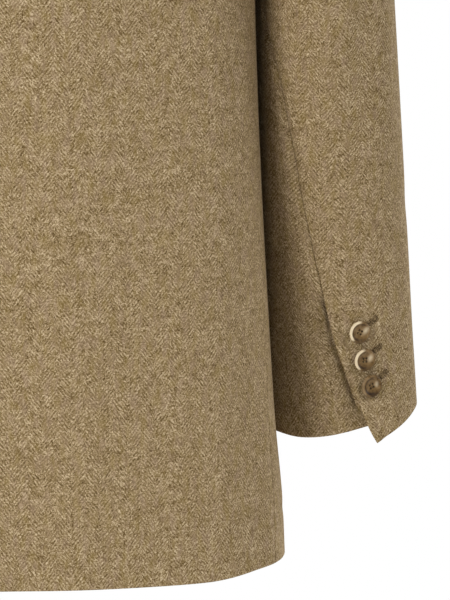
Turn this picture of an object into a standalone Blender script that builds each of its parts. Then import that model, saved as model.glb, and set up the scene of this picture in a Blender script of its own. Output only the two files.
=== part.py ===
"""Short single-breasted overcoat in heavy herringbone wool, hollow, hung as on a general figure.

Metres, +Z up. The wearer faces -Y and the wearer's left side is +X. The origin lies on the coat's middle
line at the height of the back neck seam, where the shoulders carry the coat.
Every panel is a cloth wall: a grid bent over a loft of section rows, then thickened inwards.
"""

import math
from collections import namedtuple

import bmesh
import bpy
import numpy as np
from mathutils import Vector

# Cloth and seams
CLOTH = 0.0024
SEAM_GAP = 0.0003
LAP_GAP = 0.0010
ROW_SAMPLES = 161

# Body: closed rings from the hem to the chest, seen from above
Ring = namedtuple("Ring", "z half_width back_depth front_depth seam_deg")
RINGS = (
    Ring(-0.8200, 0.2362, 0.1450, 0.1500, 69.0),
    Ring(-0.7700, 0.2342, 0.1436, 0.1490, 70.0),
    Ring(-0.7000, 0.2277, 0.1412, 0.1465, 72.0),
    Ring(-0.6100, 0.2219, 0.1372, 0.1430, 75.0),
    Ring(-0.5000, 0.2158, 0.1328, 0.1390, 77.0),
    Ring(-0.4000, 0.2116, 0.1294, 0.1362, 78.2),
    Ring(-0.3350, 0.2099, 0.1276, 0.1345, 78.9),
)
BACK_SQUARENESS = 2.6
FRONT_SQUARENESS = 2.4
SIDE_HEM_RISE = 0.0045

# Neck, shoulder and armhole
NECK_BACK_DEPTH = 0.074
NECK_POINT = np.array((0.084, -0.004, 0.020))
SHOULDER_POINT = np.array((0.222, -0.010, -0.046))
ARMHOLE_BOTTOM_Z = -0.262
ARMHOLE_MIDDLE_Y = -0.006
ARMHOLE_BACK = 0.066
ARMHOLE_FRONT = 0.070
ARMHOLE_SQUARENESS = 2.3
ARMHOLE_BOTTOM_X = 0.2065
ARMHOLE_FRONT_SCOOP = 0.016
SIDE_SEAM_TOP_DEG = 150.0

# Back above the chest: each row runs from the middle of the back to a point of the armhole
BackRow = namedtuple("BackRow", "middle_y middle_z armhole_deg turn_deg")
BACK_ROWS = (
    BackRow(0.1270, -0.2620, SIDE_SEAM_TOP_DEG, 75.0),
    BackRow(0.1250, -0.2160, 126.0, 64.0),
    BackRow(0.1210, -0.1600, 100.0, 55.0),
    BackRow(0.1120, -0.1030, 74.0, 51.0),
    BackRow(0.1000, -0.0550, 50.0, 50.0),
)

# Front above the break of the lapel: each row runs from the roll line to a point of the armhole
BREAK_Z = -0.300
FRONT_OVERLAP = 0.022
FrontRow = namedtuple("FrontRow", "roll_share middle_y armhole_deg turn_deg")
FRONT_ROWS = (
    FrontRow(0.12, -0.1345, SIDE_SEAM_TOP_DEG, 99.0),
    FrontRow(0.27, -0.1330, 186.0, 92.0),
    FrontRow(0.43, -0.1270, 222.0, 80.0),
    FrontRow(0.61, -0.1110, 263.0, 63.0),
    FrontRow(0.82, -0.0720, 314.0, 47.0),
)
ALL_RINGS = (*RINGS, RINGS[-1]._replace(z=BREAK_Z, seam_deg=79.6))
LAP_FADE = 0.060
LAP_TOP_Z = -0.170
LAP_LAPEL_Z = -0.370

# Sleeve sections, level rings. Angles: 0 outwards, 90 to the back, 180 to the body, 270 to the front
Sleeve = namedtuple("Sleeve", "z inner_x outer_x middle_y half_depth")
SLEEVE = (
    Sleeve(-0.300, 0.2130, 0.3290, -0.012, 0.080),
    Sleeve(-0.420, 0.2130, 0.3378, -0.022, 0.073),
    Sleeve(-0.550, 0.2167, 0.3474, -0.035, 0.061),
    Sleeve(-0.630, 0.2197, 0.3530, -0.042, 0.054),
    Sleeve(-0.674, 0.2213, 0.3565, -0.046, 0.050),
    Sleeve(-0.730, 0.2247, 0.3605, -0.050, 0.047),
)
SLEEVE_SQUARENESS = 2.15
BICEP_Z = SLEEVE[0].z
SleeveSeam = namedtuple("SleeveSeam", "z elbow_deg front_deg")
SLEEVE_SEAMS = (
    SleeveSeam(-0.3000, 166.0, 270.0),
    SleeveSeam(-0.3450, 160.0, 266.0),
    SleeveSeam(-0.3970, 140.0, 262.0),
    SleeveSeam(-0.4470, 127.8, 259.0),
    SleeveSeam(-0.5270, 113.2, 256.0),
    SleeveSeam(-0.5900, 102.4, 254.0),
    SleeveSeam(-0.6456, 92.2, 252.0),
    SleeveSeam(-0.6850, 82.6, 251.0),
    SleeveSeam(-0.7160, 74.5, 250.0),
    SleeveSeam(-0.7235, 71.5, 250.0),
)
CAP_ELBOW_DEG = 138.0
CAP_FRONT_DEG = 246.0
CAP_RISE = 0.80
CAP_ROLL = 0.70
SLEEVE_SET_TOP = 0.0012
SLEEVE_SET_BOTTOM = 0.0055
CUFF_RADIUS = 0.058
VENT_SHARE = 0.25
CAP_SHARE = 0.30
SEAM_DEG_GAP = 0.17

# Cuff: hem height by share of the way across each sleeve piece, and the vent where the top one laps over
CuffHem = namedtuple("CuffHem", "share z")
TOP_HEM = (
    CuffHem(0.000, -0.7010),
    CuffHem(0.386, -0.6925),
    CuffHem(0.630, -0.6955),
    CuffHem(0.800, -0.7045),
    CuffHem(0.935, -0.7160),
    CuffHem(1.000, -0.7228),
)
UNDER_HEM = (
    CuffHem(0.000, -0.7080),
    CuffHem(0.105, -0.7120),
    CuffHem(0.194, -0.7172),
    CuffHem(0.333, -0.7208),
    CuffHem(0.484, -0.7182),
    CuffHem(0.740, -0.7120),
    CuffHem(1.000, -0.7010),
)
VENT_TOP_Z = -0.597
VENT_FADE = 0.022
VENT_LIFT = 0.0036
VENT_LIFT_HEM = 0.0065
VENT_LIFT_WIDTH = 0.055
VENT_UNDERLAP = 0.014

# Lapel: width across the front from the roll line, by share of the way from break to gorge
GORGE_SHARE = 0.74
Lapel = namedtuple("Lapel", "share width")
LAPEL = (
    Lapel(0.00, 0.004),
    Lapel(0.30, 0.034),
    Lapel(0.60, 0.062),
    Lapel(0.90, 0.083),
    Lapel(1.00, 0.088),
)
LAPEL_ROLL = 0.0050
LAPEL_START = 0.02

# Collar: stations from the middle of the back to the gorge, each with its place along the neck edge, its
# stand, its lean to the neck, how wide it folds, and where its outer edge lies on the panel below
Collar = namedtuple("Collar", "on share stand lean fold edge_u edge_v")
COLLAR = (
    Collar("back", 0.00, 0.0400, 0.010, 0.0105, 0.00, 0.955),
    Collar("back", 0.50, 0.0370, 0.010, 0.0105, 0.27, 0.955),
    Collar("back", 0.85, 0.0300, 0.010, 0.0105, 0.48, 0.955),
    Collar("back", 1.00, 0.0250, 0.010, 0.0105, 0.60, 0.985),
    Collar("front", 0.96, 0.0210, 0.009, 0.0100, 0.33, 0.960),
    Collar("front", 0.90, 0.0150, 0.007, 0.0095, 0.37, 0.900),
    Collar("front", 0.83, 0.0090, 0.005, 0.0085, 0.42, 0.825),
    Collar("front", 0.775, 0.0055, 0.003, 0.0075, 0.47, 0.770),
    Collar("front", 0.745, 0.0040, 0.002, 0.0070, 0.36, 0.745),
)
COLLAR_LIFT = 0.0036
COLLAR_BULGE = 0.0050

# Buttons
Button = namedtuple("Button", "diameter thickness rim_height rim_width hole_circle hole_diameter")
CUFF_BUTTON = Button(0.0200, 0.0034, 0.0008, 0.0030, 0.0046, 0.0019)
FRONT_BUTTON = Button(0.0280, 0.0040, 0.0010, 0.0040, 0.0062, 0.0024)
BUTTON_HOLES = 4
BUTTON_SIDES = 18
BUTTON_SEAT = 0.0005
CuffButton = namedtuple("CuffButton", "z inset_deg")
CUFF_BUTTONS = (
    CuffButton(-0.6222, 16.2),
    CuffButton(-0.6472, 13.4),
    CuffButton(-0.6710, 11.2),
)
CUFF_BUTTON_TIP_DEG = 10.0
FRONT_BUTTON_Z = (-0.335, -0.455, -0.575)

# Grids
PANEL_ROWS = 22
SEAM_ROWS = 13
BACK_GRID = (24, PANEL_ROWS)
FRONT_GRID = (15, PANEL_ROWS)
TOP_SLEEVE_GRID = (11, 20)
UNDER_SLEEVE_GRID = (8, 20)
LAPEL_GRID = (5, 11)
COLLAR_GRID = (32, 8)

# Finishes, with linear colours
Finish = namedtuple("Finish", "name colour roughness metallic")
WOOL = Finish("herringbone_wool", (0.315, 0.226, 0.119, 1.0), 0.95, 0.0)
HORN = Finish("brown_horn", (0.180, 0.110, 0.055, 1.0), 0.40, 0.0)


def smooth(x):
    """Eases from 0 to 1."""
    x = np.clip(x, 0.0, 1.0)
    return x * x * (3.0 - 2.0 * x)


def table(rows, key, value):
    """A smooth curve through two columns of a table, as a function of the first."""
    xs = np.array([getattr(r, key) for r in rows])
    ys = np.array([getattr(r, value) for r in rows])
    order = np.argsort(xs)
    xs, ys = xs[order], ys[order]
    slopes = np.gradient(ys, xs)

    def at(x):
        x = np.clip(x, xs[0], xs[-1])
        k = np.clip(np.searchsorted(xs, x, side="right") - 1, 0, len(xs) - 2)
        span = xs[k + 1] - xs[k]
        t = (x - xs[k]) / span
        return hermite(ys[k], ys[k + 1], slopes[k] * span, slopes[k + 1] * span, t)

    return at


def hermite(p0, p1, m0, m1, t):
    """Cubic curve from p0 to p1 with end slopes m0 and m1."""
    return (
        (2 * t**3 - 3 * t**2 + 1) * p0
        + (t**3 - 2 * t**2 + t) * m0
        + (3 * t**2 - 2 * t**3) * p1
        + (t**3 - t**2) * m1
    )


def power(x, squareness):
    """A sine or cosine bent towards the square, keeping its sign."""
    return np.sign(x) * np.abs(x) ** (2.0 / squareness)


def even(points):
    """The same line with ROW_SAMPLES points evenly spaced along it."""
    steps = np.linalg.norm(np.diff(points, axis=0), axis=1)
    along = np.concatenate(([0.0], np.cumsum(steps)))
    at = np.linspace(0.0, along[-1], ROW_SAMPLES)
    return np.stack([np.interp(at, along, points[:, k]) for k in range(3)], axis=1)


def loft(rows, knots, end_slope=None, corner=None):
    """A surface through evenly sampled rows: a function of u along a row and v across the rows, both 0 to 1.

    At the corner row the panel's far edge ends its seam and turns sharply into the armhole; the last
    stretch of the seam is straight.
    """
    stack = np.array(rows)
    knots = np.asarray(knots)
    slopes = np.gradient(stack, knots, axis=0)
    if end_slope is not None:
        slopes[-1] = end_slope
    arriving = slopes.copy()
    if corner is not None:
        chords = np.diff(stack, axis=0) / np.diff(knots)[:, None, None]
        sharp = smooth(np.linspace(0, 1, ROW_SAMPLES) / 0.25 - 3)[:, None]
        for row in (corner - 1, corner):
            arriving[row] += (chords[row - 1] - arriving[row]) * sharp
        slopes[corner - 1] += (chords[corner - 1] - slopes[corner - 1]) * sharp

    def at(u, v):
        u = np.clip(np.asarray(u, float), 0.0, 1.0) * (ROW_SAMPLES - 1)
        v = np.clip(np.asarray(v, float), 0.0, 1.0)
        i = np.clip(u.astype(int), 0, ROW_SAMPLES - 2)
        f = (u - i)[..., None]
        k = np.clip(np.searchsorted(knots, v, side="right") - 1, 0, len(knots) - 2)
        span = (knots[k + 1] - knots[k])[..., None]
        t = (v - knots[k])[..., None] / span

        def pick(grid, row):
            return grid[row, i] * (1.0 - f) + grid[row, i + 1] * f

        return hermite(
            pick(stack, k), pick(stack, k + 1), pick(slopes, k) * span, pick(arriving, k + 1) * span, t
        )

    return at


def knots_of(rows):
    """How far up the panel each row lies, 0 to 1, by the mean distance between rows."""
    gaps = [np.linalg.norm(b - a, axis=1).mean() for a, b in zip(rows, rows[1:])]
    along = np.concatenate(([0.0], np.cumsum(gaps)))
    return along / along[-1]


def armhole(deg):
    """A point of the wearer's left armhole edge: 0 at the shoulder, 90 at the back, 180 under the arm."""
    a = np.radians(deg)
    s = power(np.sin(a), ARMHOLE_SQUARENESS)
    c = power(np.cos(a), ARMHOLE_SQUARENESS)
    top, bottom = SHOULDER_POINT[2], ARMHOLE_BOTTOM_Z
    y = ARMHOLE_MIDDLE_Y + np.where(s > 0, ARMHOLE_BACK, ARMHOLE_FRONT) * s
    y = y + (SHOULDER_POINT[1] - ARMHOLE_MIDDLE_Y) * np.clip(c, 0, 1) ** 2
    z = (top + bottom) / 2 + (top - bottom) / 2 * c
    rise = ((1 + np.cos(a)) / 2) ** 1.5
    x = ARMHOLE_BOTTOM_X + (SHOULDER_POINT[0] - ARMHOLE_BOTTOM_X) * rise
    x = x - ARMHOLE_FRONT_SCOOP * np.clip(-np.sin(a), 0, 1) ** 2
    return np.stack([x, y, z], axis=-1)


def ring_points(ring, deg):
    """Points of a body ring: 0 at the middle of the back, 90 at the side, 180 at the middle of the front."""
    a = np.radians(deg)
    back = np.cos(a) > 0
    squareness = np.where(back, BACK_SQUARENESS, FRONT_SQUARENESS)
    x = ring.half_width * power(np.sin(a), squareness)
    y = np.where(back, ring.back_depth, ring.front_depth) * power(np.cos(a), squareness)
    rise = SIDE_HEM_RISE * smooth(np.abs(np.sin(a)) / 0.35 - 1.75) * (ring.z == RINGS[0].z)
    return np.stack([x, y, ring.z + rise], axis=-1)


def arc_points(middle_y, end, turn_deg, start_x, start_z):
    """A row from the middle line or the roll line to end, turning by turn_deg on the way round."""
    turn = math.radians(turn_deg)
    first = math.asin(start_x * math.sin(turn) / end[0])
    a = np.linspace(first, turn, ROW_SAMPLES)
    x = end[0] * np.sin(a) / math.sin(turn)
    y = end[1] + (middle_y - end[1]) * (np.cos(a) - math.cos(turn)) / (1 - math.cos(turn))
    z = start_z + (end[2] - start_z) * np.linspace(0, 1, ROW_SAMPLES) ** 1.4
    return np.stack([x, y, z], axis=1)


def shoulder_line(shift_y):
    """The shoulder seam from the neck point to the shoulder point, a little hollow."""
    t = np.linspace(0, 1, ROW_SAMPLES)[:, None]
    line = NECK_POINT * (1 - t) + SHOULDER_POINT * t
    line[:, 2] -= 0.004 * np.sin(np.pi * t[:, 0])
    line[:, 1] += shift_y
    return line


def end_slope(rows, knots, direction):
    """Slope of a panel where it reaches its top row, as long as the last step."""
    step = np.linalg.norm(rows[-1] - rows[-2], axis=1)[:, None]
    return direction * step / (knots[-1] - knots[-2])


def back_surface():
    """The back, from its middle line to the wearer's left side seam and armhole."""
    rows = [even(ring_points(r, np.linspace(0, r.seam_deg, ROW_SAMPLES))) for r in ALL_RINGS]
    for r in BACK_ROWS:
        rows.append(even(arc_points(r.middle_y, armhole(r.armhole_deg), r.turn_deg, 0.0, r.middle_z)))
    w = np.linspace(0, math.pi / 2, ROW_SAMPLES)
    neck = np.stack(
        [
            NECK_POINT[0] * np.sin(w),
            NECK_POINT[1] + (NECK_BACK_DEPTH - NECK_POINT[1]) * np.cos(w),
            NECK_POINT[2] * (1 - np.cos(w)),
        ],
        axis=1,
    )
    top = even(np.concatenate((neck, shoulder_line(SEAM_GAP)[1:])))
    rows.append(top)
    knots = knots_of(rows)
    onto_shoulder = smooth((top[:, 0] - 0.8 * NECK_POINT[0]) / (0.35 * NECK_POINT[0]))[:, None]
    direction = (1 - onto_shoulder) * np.array((0, -0.45, 0.9)) + onto_shoulder * np.array((0, -1.0, 0.0))
    corner = len(ALL_RINGS)
    return loft(rows, knots, end_slope(rows, knots, direction), corner), knots


def roll_line(share):
    """Across and up position of the lapel's roll line, from the break to the neck point."""
    x = -FRONT_OVERLAP + (NECK_POINT[0] + FRONT_OVERLAP) * share
    z = BREAK_Z + (NECK_POINT[2] - BREAK_Z) * share
    return x, z


def front_surface():
    """The wearer's left front, from its front edge and roll line to the side seam and armhole."""
    rows = []
    for r in ALL_RINGS:
        past = math.degrees(math.asin((FRONT_OVERLAP / r.half_width) ** (FRONT_SQUARENESS / 2)))
        rows.append(even(ring_points(r, np.linspace(180 + past, r.seam_deg, ROW_SAMPLES))))
    for r in FRONT_ROWS:
        x, z = roll_line(r.roll_share)
        rows.append(even(arc_points(r.middle_y, armhole(r.armhole_deg), r.turn_deg, x, z)))
    rows.append(even(shoulder_line(-SEAM_GAP)))
    knots = knots_of(rows)
    corner = len(ALL_RINGS)
    surface = loft(rows, knots, end_slope(rows, knots, np.array((0, 1.0, 0.0))), corner)
    return surface, knots


BACK, BACK_KNOTS = back_surface()
FRONT, FRONT_KNOTS = front_surface()
BACK_ARMHOLE = BACK_KNOTS[len(ALL_RINGS)]
FRONT_ARMHOLE = FRONT_KNOTS[len(ALL_RINGS)]
FRONT_BREAK = FRONT_KNOTS[len(ALL_RINGS) - 1]
NECK_SHARE = 0.455


def row_height(share, knots):
    """Height up a panel for an even share of its grid: back and front rows meet along the side seam."""
    levels = np.array([*(r.z for r in ALL_RINGS), armhole(SIDE_SEAM_TOP_DEG)[2]])
    levels = (levels - levels[0]) / (levels[-1] - levels[0]) * SEAM_ROWS / PANEL_ROWS
    return np.interp(share, [*levels, 1.0], [*knots[: len(levels)], 1.0])


def normals(point, u, v):
    """Unit normals of a surface by small steps along it."""
    h = 1e-4
    along = point(np.minimum(u + h, 1), v) - point(np.maximum(u - h, 0), v)
    across = point(u, np.minimum(v + h, 1)) - point(u, np.maximum(v - h, 0))
    n = np.cross(along, across)
    return n / np.linalg.norm(n, axis=-1, keepdims=True)


def trimmed(u, length, gap=SEAM_GAP / 2):
    """Grid position pulled in from both ends of a row by a gap."""
    inset = gap / length
    return inset + (1 - 2 * inset) * u


def mirrored(points, side):
    """Points made for the wearer's left side, on the side asked for."""
    return points * np.array((side, 1.0, 1.0))


def wall(name, point, grid, flip=False):
    """A cloth panel: a grid bent over point(u, v), then thickened away from its outer face."""
    columns, rows = grid
    mesh = bmesh.new()
    bmesh.ops.create_grid(mesh, x_segments=columns, y_segments=rows, size=0.5)
    u = np.array([v.co.x for v in mesh.verts]) + 0.5
    v = np.array([v.co.y for v in mesh.verts]) + 0.5
    outer = point(u, v)
    n = normals(point, u, v) * (-1.0 if flip else 1.0)
    inner = outer - CLOTH * n
    sheet = list(mesh.verts)
    extruded = bmesh.ops.extrude_face_region(mesh, geom=list(mesh.faces), use_keep_orig=True)
    lifted = [g for g in extruded["geom"] if isinstance(g, bmesh.types.BMVert)]
    place = {(round(vert.co.x, 5), round(vert.co.y, 5)): i for i, vert in enumerate(sheet)}
    for vert in lifted:
        vert.co = inner[place[(round(vert.co.x, 5), round(vert.co.y, 5))]]
    for i, vert in enumerate(sheet):
        vert.co = outer[i]
    bmesh.ops.recalc_face_normals(mesh, faces=mesh.faces)
    add_object(name, mesh, WOOL)


def add_object(name, mesh, finish):
    """Puts a finished bmesh into the coat's collection as a named object with its own material."""
    data = bpy.data.meshes.new(name)
    mesh.to_mesh(data)
    mesh.free()
    data.materials.append(material(f"{name}_{finish.name}", finish))
    data.shade_smooth()
    data.set_sharp_from_angle(angle=math.radians(40))
    obj = bpy.data.objects.new(name, data)
    bpy.data.collections["overcoat"].objects.link(obj)
    return obj


def make_back():
    """The back, in one piece across the middle."""

    def point(u, v):
        across = trimmed(u, 0.5) * 2 - 1
        half = BACK(np.abs(across), row_height(v, BACK_KNOTS))
        half[..., 0] *= np.sign(across)
        return half

    wall("back", point, BACK_GRID, flip=True)


def front_point(side):
    """Outer face of one front. The wearer's right front lies under the left one at the front edge."""

    def point(u, v):
        u = trimmed(u, 0.3, SEAM_GAP * 1.3)
        p = FRONT(u, v)
        if side < 0:
            edge = FRONT(np.zeros_like(u), v)
            away = np.linalg.norm(p - edge, axis=-1)
            layers = 1 + smooth((edge[..., 2] - LAP_LAPEL_Z) / 0.05)
            layers = layers * smooth((LAP_TOP_Z - edge[..., 2]) / 0.05)
            lap = (CLOTH + LAP_GAP) * layers * (1 - smooth(away / LAP_FADE - 0.75))
            p = p + lap[..., None] * np.array((0.0, 1.0, 0.0))
        return mirrored(p, side)

    return point


def make_fronts():
    """Left and right fronts, wrapped round the side to the back seam."""
    for name, side in (("front_left", 1), ("front_right", -1)):
        face = front_point(side)
        wall(name, lambda u, v: face(u, row_height(v, FRONT_KNOTS)), FRONT_GRID, flip=side < 0)


SLEEVE_COLUMN = {field: table(SLEEVE, "z", field) for field in Sleeve._fields if field != "z"}
SEAM_COLUMN = {field: table(SLEEVE_SEAMS, "z", field) for field in ("elbow_deg", "front_deg")}


def sleeve_ring(deg, z):
    """A point of the wearer's left sleeve below the bicep."""
    a = np.radians(deg)
    inner, outer = SLEEVE_COLUMN["inner_x"](z), SLEEVE_COLUMN["outer_x"](z)
    x = (outer + inner) / 2 + (outer - inner) / 2 * power(np.cos(a), SLEEVE_SQUARENESS)
    y = SLEEVE_COLUMN["middle_y"](z) + SLEEVE_COLUMN["half_depth"](z) * power(np.sin(a), SLEEVE_SQUARENESS)
    return np.stack([x, y, z], axis=-1)


def armhole_edge():
    """The armhole edge of the panels as it runs, and the angle of each of its points seen from the side."""
    rise = np.linspace(0, 1, 240)
    ones = np.ones_like(rise)
    back = BACK(ones, BACK_ARMHOLE + (1 - BACK_ARMHOLE) * rise)
    front = FRONT(ones, FRONT_ARMHOLE + (1 - FRONT_ARMHOLE) * rise)
    edge = np.concatenate((back[::-1], front[1:]))
    middle_z = (SHOULDER_POINT[2] + ARMHOLE_BOTTOM_Z) / 2
    half_height = (SHOULDER_POINT[2] - ARMHOLE_BOTTOM_Z) / 2
    across = edge[:, 1] - ARMHOLE_MIDDLE_Y
    depth = np.where(across > 0, ARMHOLE_BACK, ARMHOLE_FRONT)
    deg = np.degrees(np.unwrap(np.arctan2(across / depth, (edge[:, 2] - middle_z) / half_height)))
    return deg, edge


EDGE_DEG, EDGE = armhole_edge()


def sleeve_seat(deg):
    """Where the sleeve head ends, just outside the armhole edge."""
    around = EDGE_DEG[0] + np.mod(deg - EDGE_DEG[0], 360.0)
    around = np.minimum(around, EDGE_DEG[-1])
    seat = np.stack([np.interp(around, EDGE_DEG, EDGE[:, k]) for k in range(3)], axis=-1)
    under = (1 - np.cos(np.radians(deg))) / 2
    seat[..., 0] += SLEEVE_SET_TOP + (SLEEVE_SET_BOTTOM - SLEEVE_SET_TOP) * under**2
    return seat


def sleeve_cap(deg, share):
    """A point of the sleeve head between the bicep ring and the armhole."""
    foot = sleeve_ring(deg, np.full_like(deg, BICEP_Z))
    below = sleeve_ring(deg, np.full_like(deg, BICEP_Z - 0.01))
    seat = sleeve_seat(deg)
    under = (1 - np.cos(np.radians(deg))) / 2
    length = np.linalg.norm(seat - foot, axis=-1, keepdims=True)
    rise = foot - below
    rise = rise / np.linalg.norm(rise, axis=-1, keepdims=True) * length * CAP_RISE
    roll = np.array((-1.0, 0.0, 0.15)) * length * CAP_ROLL * (1 - 0.75 * under[..., None])
    return hermite(foot, seat, rise, roll, share[..., None])


def sleeve_z(hem_z, v):
    """Height of a sleeve point below the bicep: from the hem to the vent top, then on to the bicep."""
    low = np.clip(v / VENT_SHARE, 0, 1)
    high = np.clip((v - VENT_SHARE) / (1 - CAP_SHARE - VENT_SHARE), 0, 1)
    along_vent = hem_z + (VENT_TOP_Z - hem_z) * low
    above_vent = VENT_TOP_Z + (BICEP_Z - VENT_TOP_Z) * high
    return np.where(v < VENT_SHARE, along_vent, above_vent)


def sleeve_point(deg, hem_z, v):
    """A point of the sleeve: v runs from the hem to the bicep, then over the head to the armhole."""
    tube = sleeve_ring(deg, sleeve_z(hem_z, v))
    cap = sleeve_cap(deg, np.clip((v - 1 + CAP_SHARE) / CAP_SHARE, 0, 1))
    return np.where((v > 1 - CAP_SHARE)[..., None], cap, tube)


def seam_deg(v, field, cap_deg, corner_z, side):
    """Angle of a sleeve seam at v along a piece whose lower corner is at corner_z, half a gap to one side."""
    at = SEAM_COLUMN[field](sleeve_z(corner_z, v))
    onto_cap = smooth((v - 1 + CAP_SHARE) / CAP_SHARE)
    return at + (cap_deg - at) * onto_cap + side * SEAM_DEG_GAP * (1 + 2.5 * onto_cap)


def top_sleeve_point(side):
    """Outer face of the top sleeve, which lifts over the under sleeve along the cuff vent."""
    hem = table(TOP_HEM, "share", "z")

    def point(u, v):
        elbow = seam_deg(v, "elbow_deg", CAP_ELBOW_DEG, TOP_HEM[-1].z, -1)
        front = seam_deg(v, "front_deg", CAP_FRONT_DEG, TOP_HEM[0].z, 1) - 360
        deg = front + (elbow - front) * u
        p = sleeve_point(deg, hem(u), v)
        below = VENT_TOP_Z - sleeve_z(TOP_HEM[-1].z, v)
        share = below / (VENT_TOP_Z - TOP_HEM[-1].z)
        from_edge = np.radians(elbow - deg) * CUFF_RADIUS
        lift = (VENT_LIFT + (VENT_LIFT_HEM - VENT_LIFT) * share) * smooth(below / VENT_FADE)
        lift = lift * smooth(1 - from_edge / VENT_LIFT_WIDTH)
        a = np.radians(deg)
        p = p + lift[..., None] * np.stack([np.cos(a), np.sin(a), np.zeros_like(a)], axis=-1)
        return mirrored(p, side)

    return point


def under_sleeve_point(side):
    """Outer face of the under sleeve, which runs on beneath the top sleeve along the cuff vent."""
    hem = table(UNDER_HEM, "share", "z")

    def point(u, v):
        below = VENT_TOP_Z - sleeve_z(UNDER_HEM[0].z, v)
        past = np.degrees(VENT_UNDERLAP / CUFF_RADIUS) * smooth(below / VENT_FADE - 1)
        elbow = seam_deg(v, "elbow_deg", CAP_ELBOW_DEG, UNDER_HEM[0].z, 1) - past
        front = seam_deg(v, "front_deg", CAP_FRONT_DEG, UNDER_HEM[-1].z, -1)
        deg = elbow + (front - elbow) * u
        return mirrored(sleeve_point(deg, hem(u), v), side)

    return point


def make_sleeves():
    """Two-piece sleeves, left and right."""
    for name, side in (("left", 1), ("right", -1)):
        wall(f"top_sleeve_{name}", top_sleeve_point(side), TOP_SLEEVE_GRID, flip=side < 0)
        wall(f"under_sleeve_{name}", under_sleeve_point(side), UNDER_SLEEVE_GRID, flip=side < 0)


def row_length(v):
    """Length of a front row from the roll line to the armhole."""
    points = [FRONT(np.full_like(v, u), v) for u in np.linspace(0, 1, 17)]
    return sum(np.linalg.norm(b - a, axis=-1) for a, b in zip(points, points[1:]))


def lapel_point(side):
    """Outer face of a lapel: the front's own points moved out, rolling up from the roll line."""
    width = table(LAPEL, "share", "width")
    base = front_point(side)

    def point(u, v):
        share = LAPEL_START + (1 - LAPEL_START) * v
        height = front_height(GORGE_SHARE * share)
        across = u * width(share) / row_length(height)
        n = normals(base, across, height) * side
        roll = LAPEL_ROLL * np.sin(np.pi * np.clip(u, 0, 1) ** 0.45) * smooth((share - 0.25) / 0.4)
        lift = CLOTH + LAP_GAP + roll
        return base(across, height) + lift[..., None] * n

    return point


def make_lapels():
    """Lapels turned back over the fronts."""
    for name, side in (("lapel_left", 1), ("lapel_right", -1)):
        wall(name, lapel_point(side), LAPEL_GRID, flip=side < 0)


def collar_station(s):
    """One section of the half collar: seam, stand, fold, fall and outer edge."""
    if s.on == "back":
        panel, facing = BACK, -1.0
        seam_uv = np.array(NECK_SHARE * s.share), np.array(1.0)
        edge_uv = np.array(s.edge_u), np.array(s.edge_v)
    else:
        panel, facing = FRONT, 1.0
        seam_uv = np.array(0.0), front_height(s.share)
        edge_uv = np.array(s.edge_u), front_height(s.edge_v)
    seam = panel(*seam_uv)
    edge = panel(*edge_uv) + facing * normals(panel, *edge_uv) * (CLOTH + COLLAR_LIFT)
    inwards = -np.array((seam[0], seam[1], 0.0)) / math.hypot(seam[0], seam[1])
    up = np.array((0.0, 0.0, 1.0))
    if s.on == "front":
        tilt = smooth((1 - s.share) / 0.25)
        up = up * (1 - tilt) + normals(FRONT, *seam_uv) * tilt
    foot = seam + up * (CLOTH + LAP_GAP)
    fold = seam + up * (CLOTH + s.stand + s.fold * 0.5) + inwards * s.lean
    outside = fold - inwards * s.fold - up * s.fold * 0.4
    stand = (foot + fold) / 2 + inwards * s.lean * 0.3
    fall = (outside + edge) / 2 + (up - inwards) * COLLAR_BULGE * 0.7
    return np.array([foot, stand, fold, outside, fall, edge])


def front_height(share):
    """How far up the front a share of the way from the break to the neck point lies."""
    return np.array(FRONT_BREAK + (1 - FRONT_BREAK) * share)


def rounded(points):
    """A smooth line through a few points, evenly sampled."""
    steps = np.linalg.norm(np.diff(points, axis=0), axis=1) ** 0.5
    knots = np.concatenate(([0.0], np.cumsum(steps)))
    slopes = np.gradient(points, knots, axis=0)
    at = np.linspace(0.0, knots[-1], 4 * ROW_SAMPLES)
    k = np.clip(np.searchsorted(knots, at, side="right") - 1, 0, len(knots) - 2)
    span = (knots[k + 1] - knots[k])[:, None]
    t = (at - knots[k])[:, None] / span
    return even(hermite(points[k], points[k + 1], slopes[k] * span, slopes[k + 1] * span, t))


def make_collar():
    """The turned-down collar: stand, fold and fall in one wall round the neck."""
    rows = [rounded(collar_station(s)) for s in COLLAR]
    half = [rows[1] * np.array((-1.0, 1.0, 1.0)), *rows]
    knots = knots_of(half)
    start = knots[1]
    surface = loft(half, knots)

    def point(u, v):
        along = u * 2 - 1
        p = surface(v, start + (1 - start) * np.abs(along))
        p[..., 0] *= np.where(along < 0, -1.0, 1.0)
        return p

    wall("collar", point, COLLAR_GRID)


def make_button(name, size, centre, out):
    """A turned four-hole button with a raised rim, its flat back seated on the cloth."""
    r = size.diameter / 2
    profile = (
        (0.0, size.thickness - size.rim_height),
        (r - size.rim_width, size.thickness - size.rim_height),
        (r - size.rim_width * 0.75, size.thickness),
        (r - size.rim_width * 0.25, size.thickness),
        (r, size.thickness * 0.55),
        (r * 0.80, 0.0),
        (0.0, 0.0),
    )
    mesh = bmesh.new()
    line = [mesh.verts.new((x, 0, z)) for x, z in profile]
    edges = [mesh.edges.new(pair) for pair in zip(line, line[1:])]
    bmesh.ops.spin(
        mesh, geom=line + edges, cent=(0, 0, 0), axis=(0, 0, 1), angle=2 * math.pi,
        steps=BUTTON_SIDES, use_merge=True,
    )
    bmesh.ops.remove_doubles(mesh, verts=mesh.verts, dist=1e-6)
    bmesh.ops.recalc_face_normals(mesh, faces=mesh.faces)
    button = add_object(name, mesh, HORN)
    drill_holes(button, size)
    button.rotation_euler = Vector(out).to_track_quat("Z", "Y").to_euler()
    button.location = centre + out * BUTTON_SEAT


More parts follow.
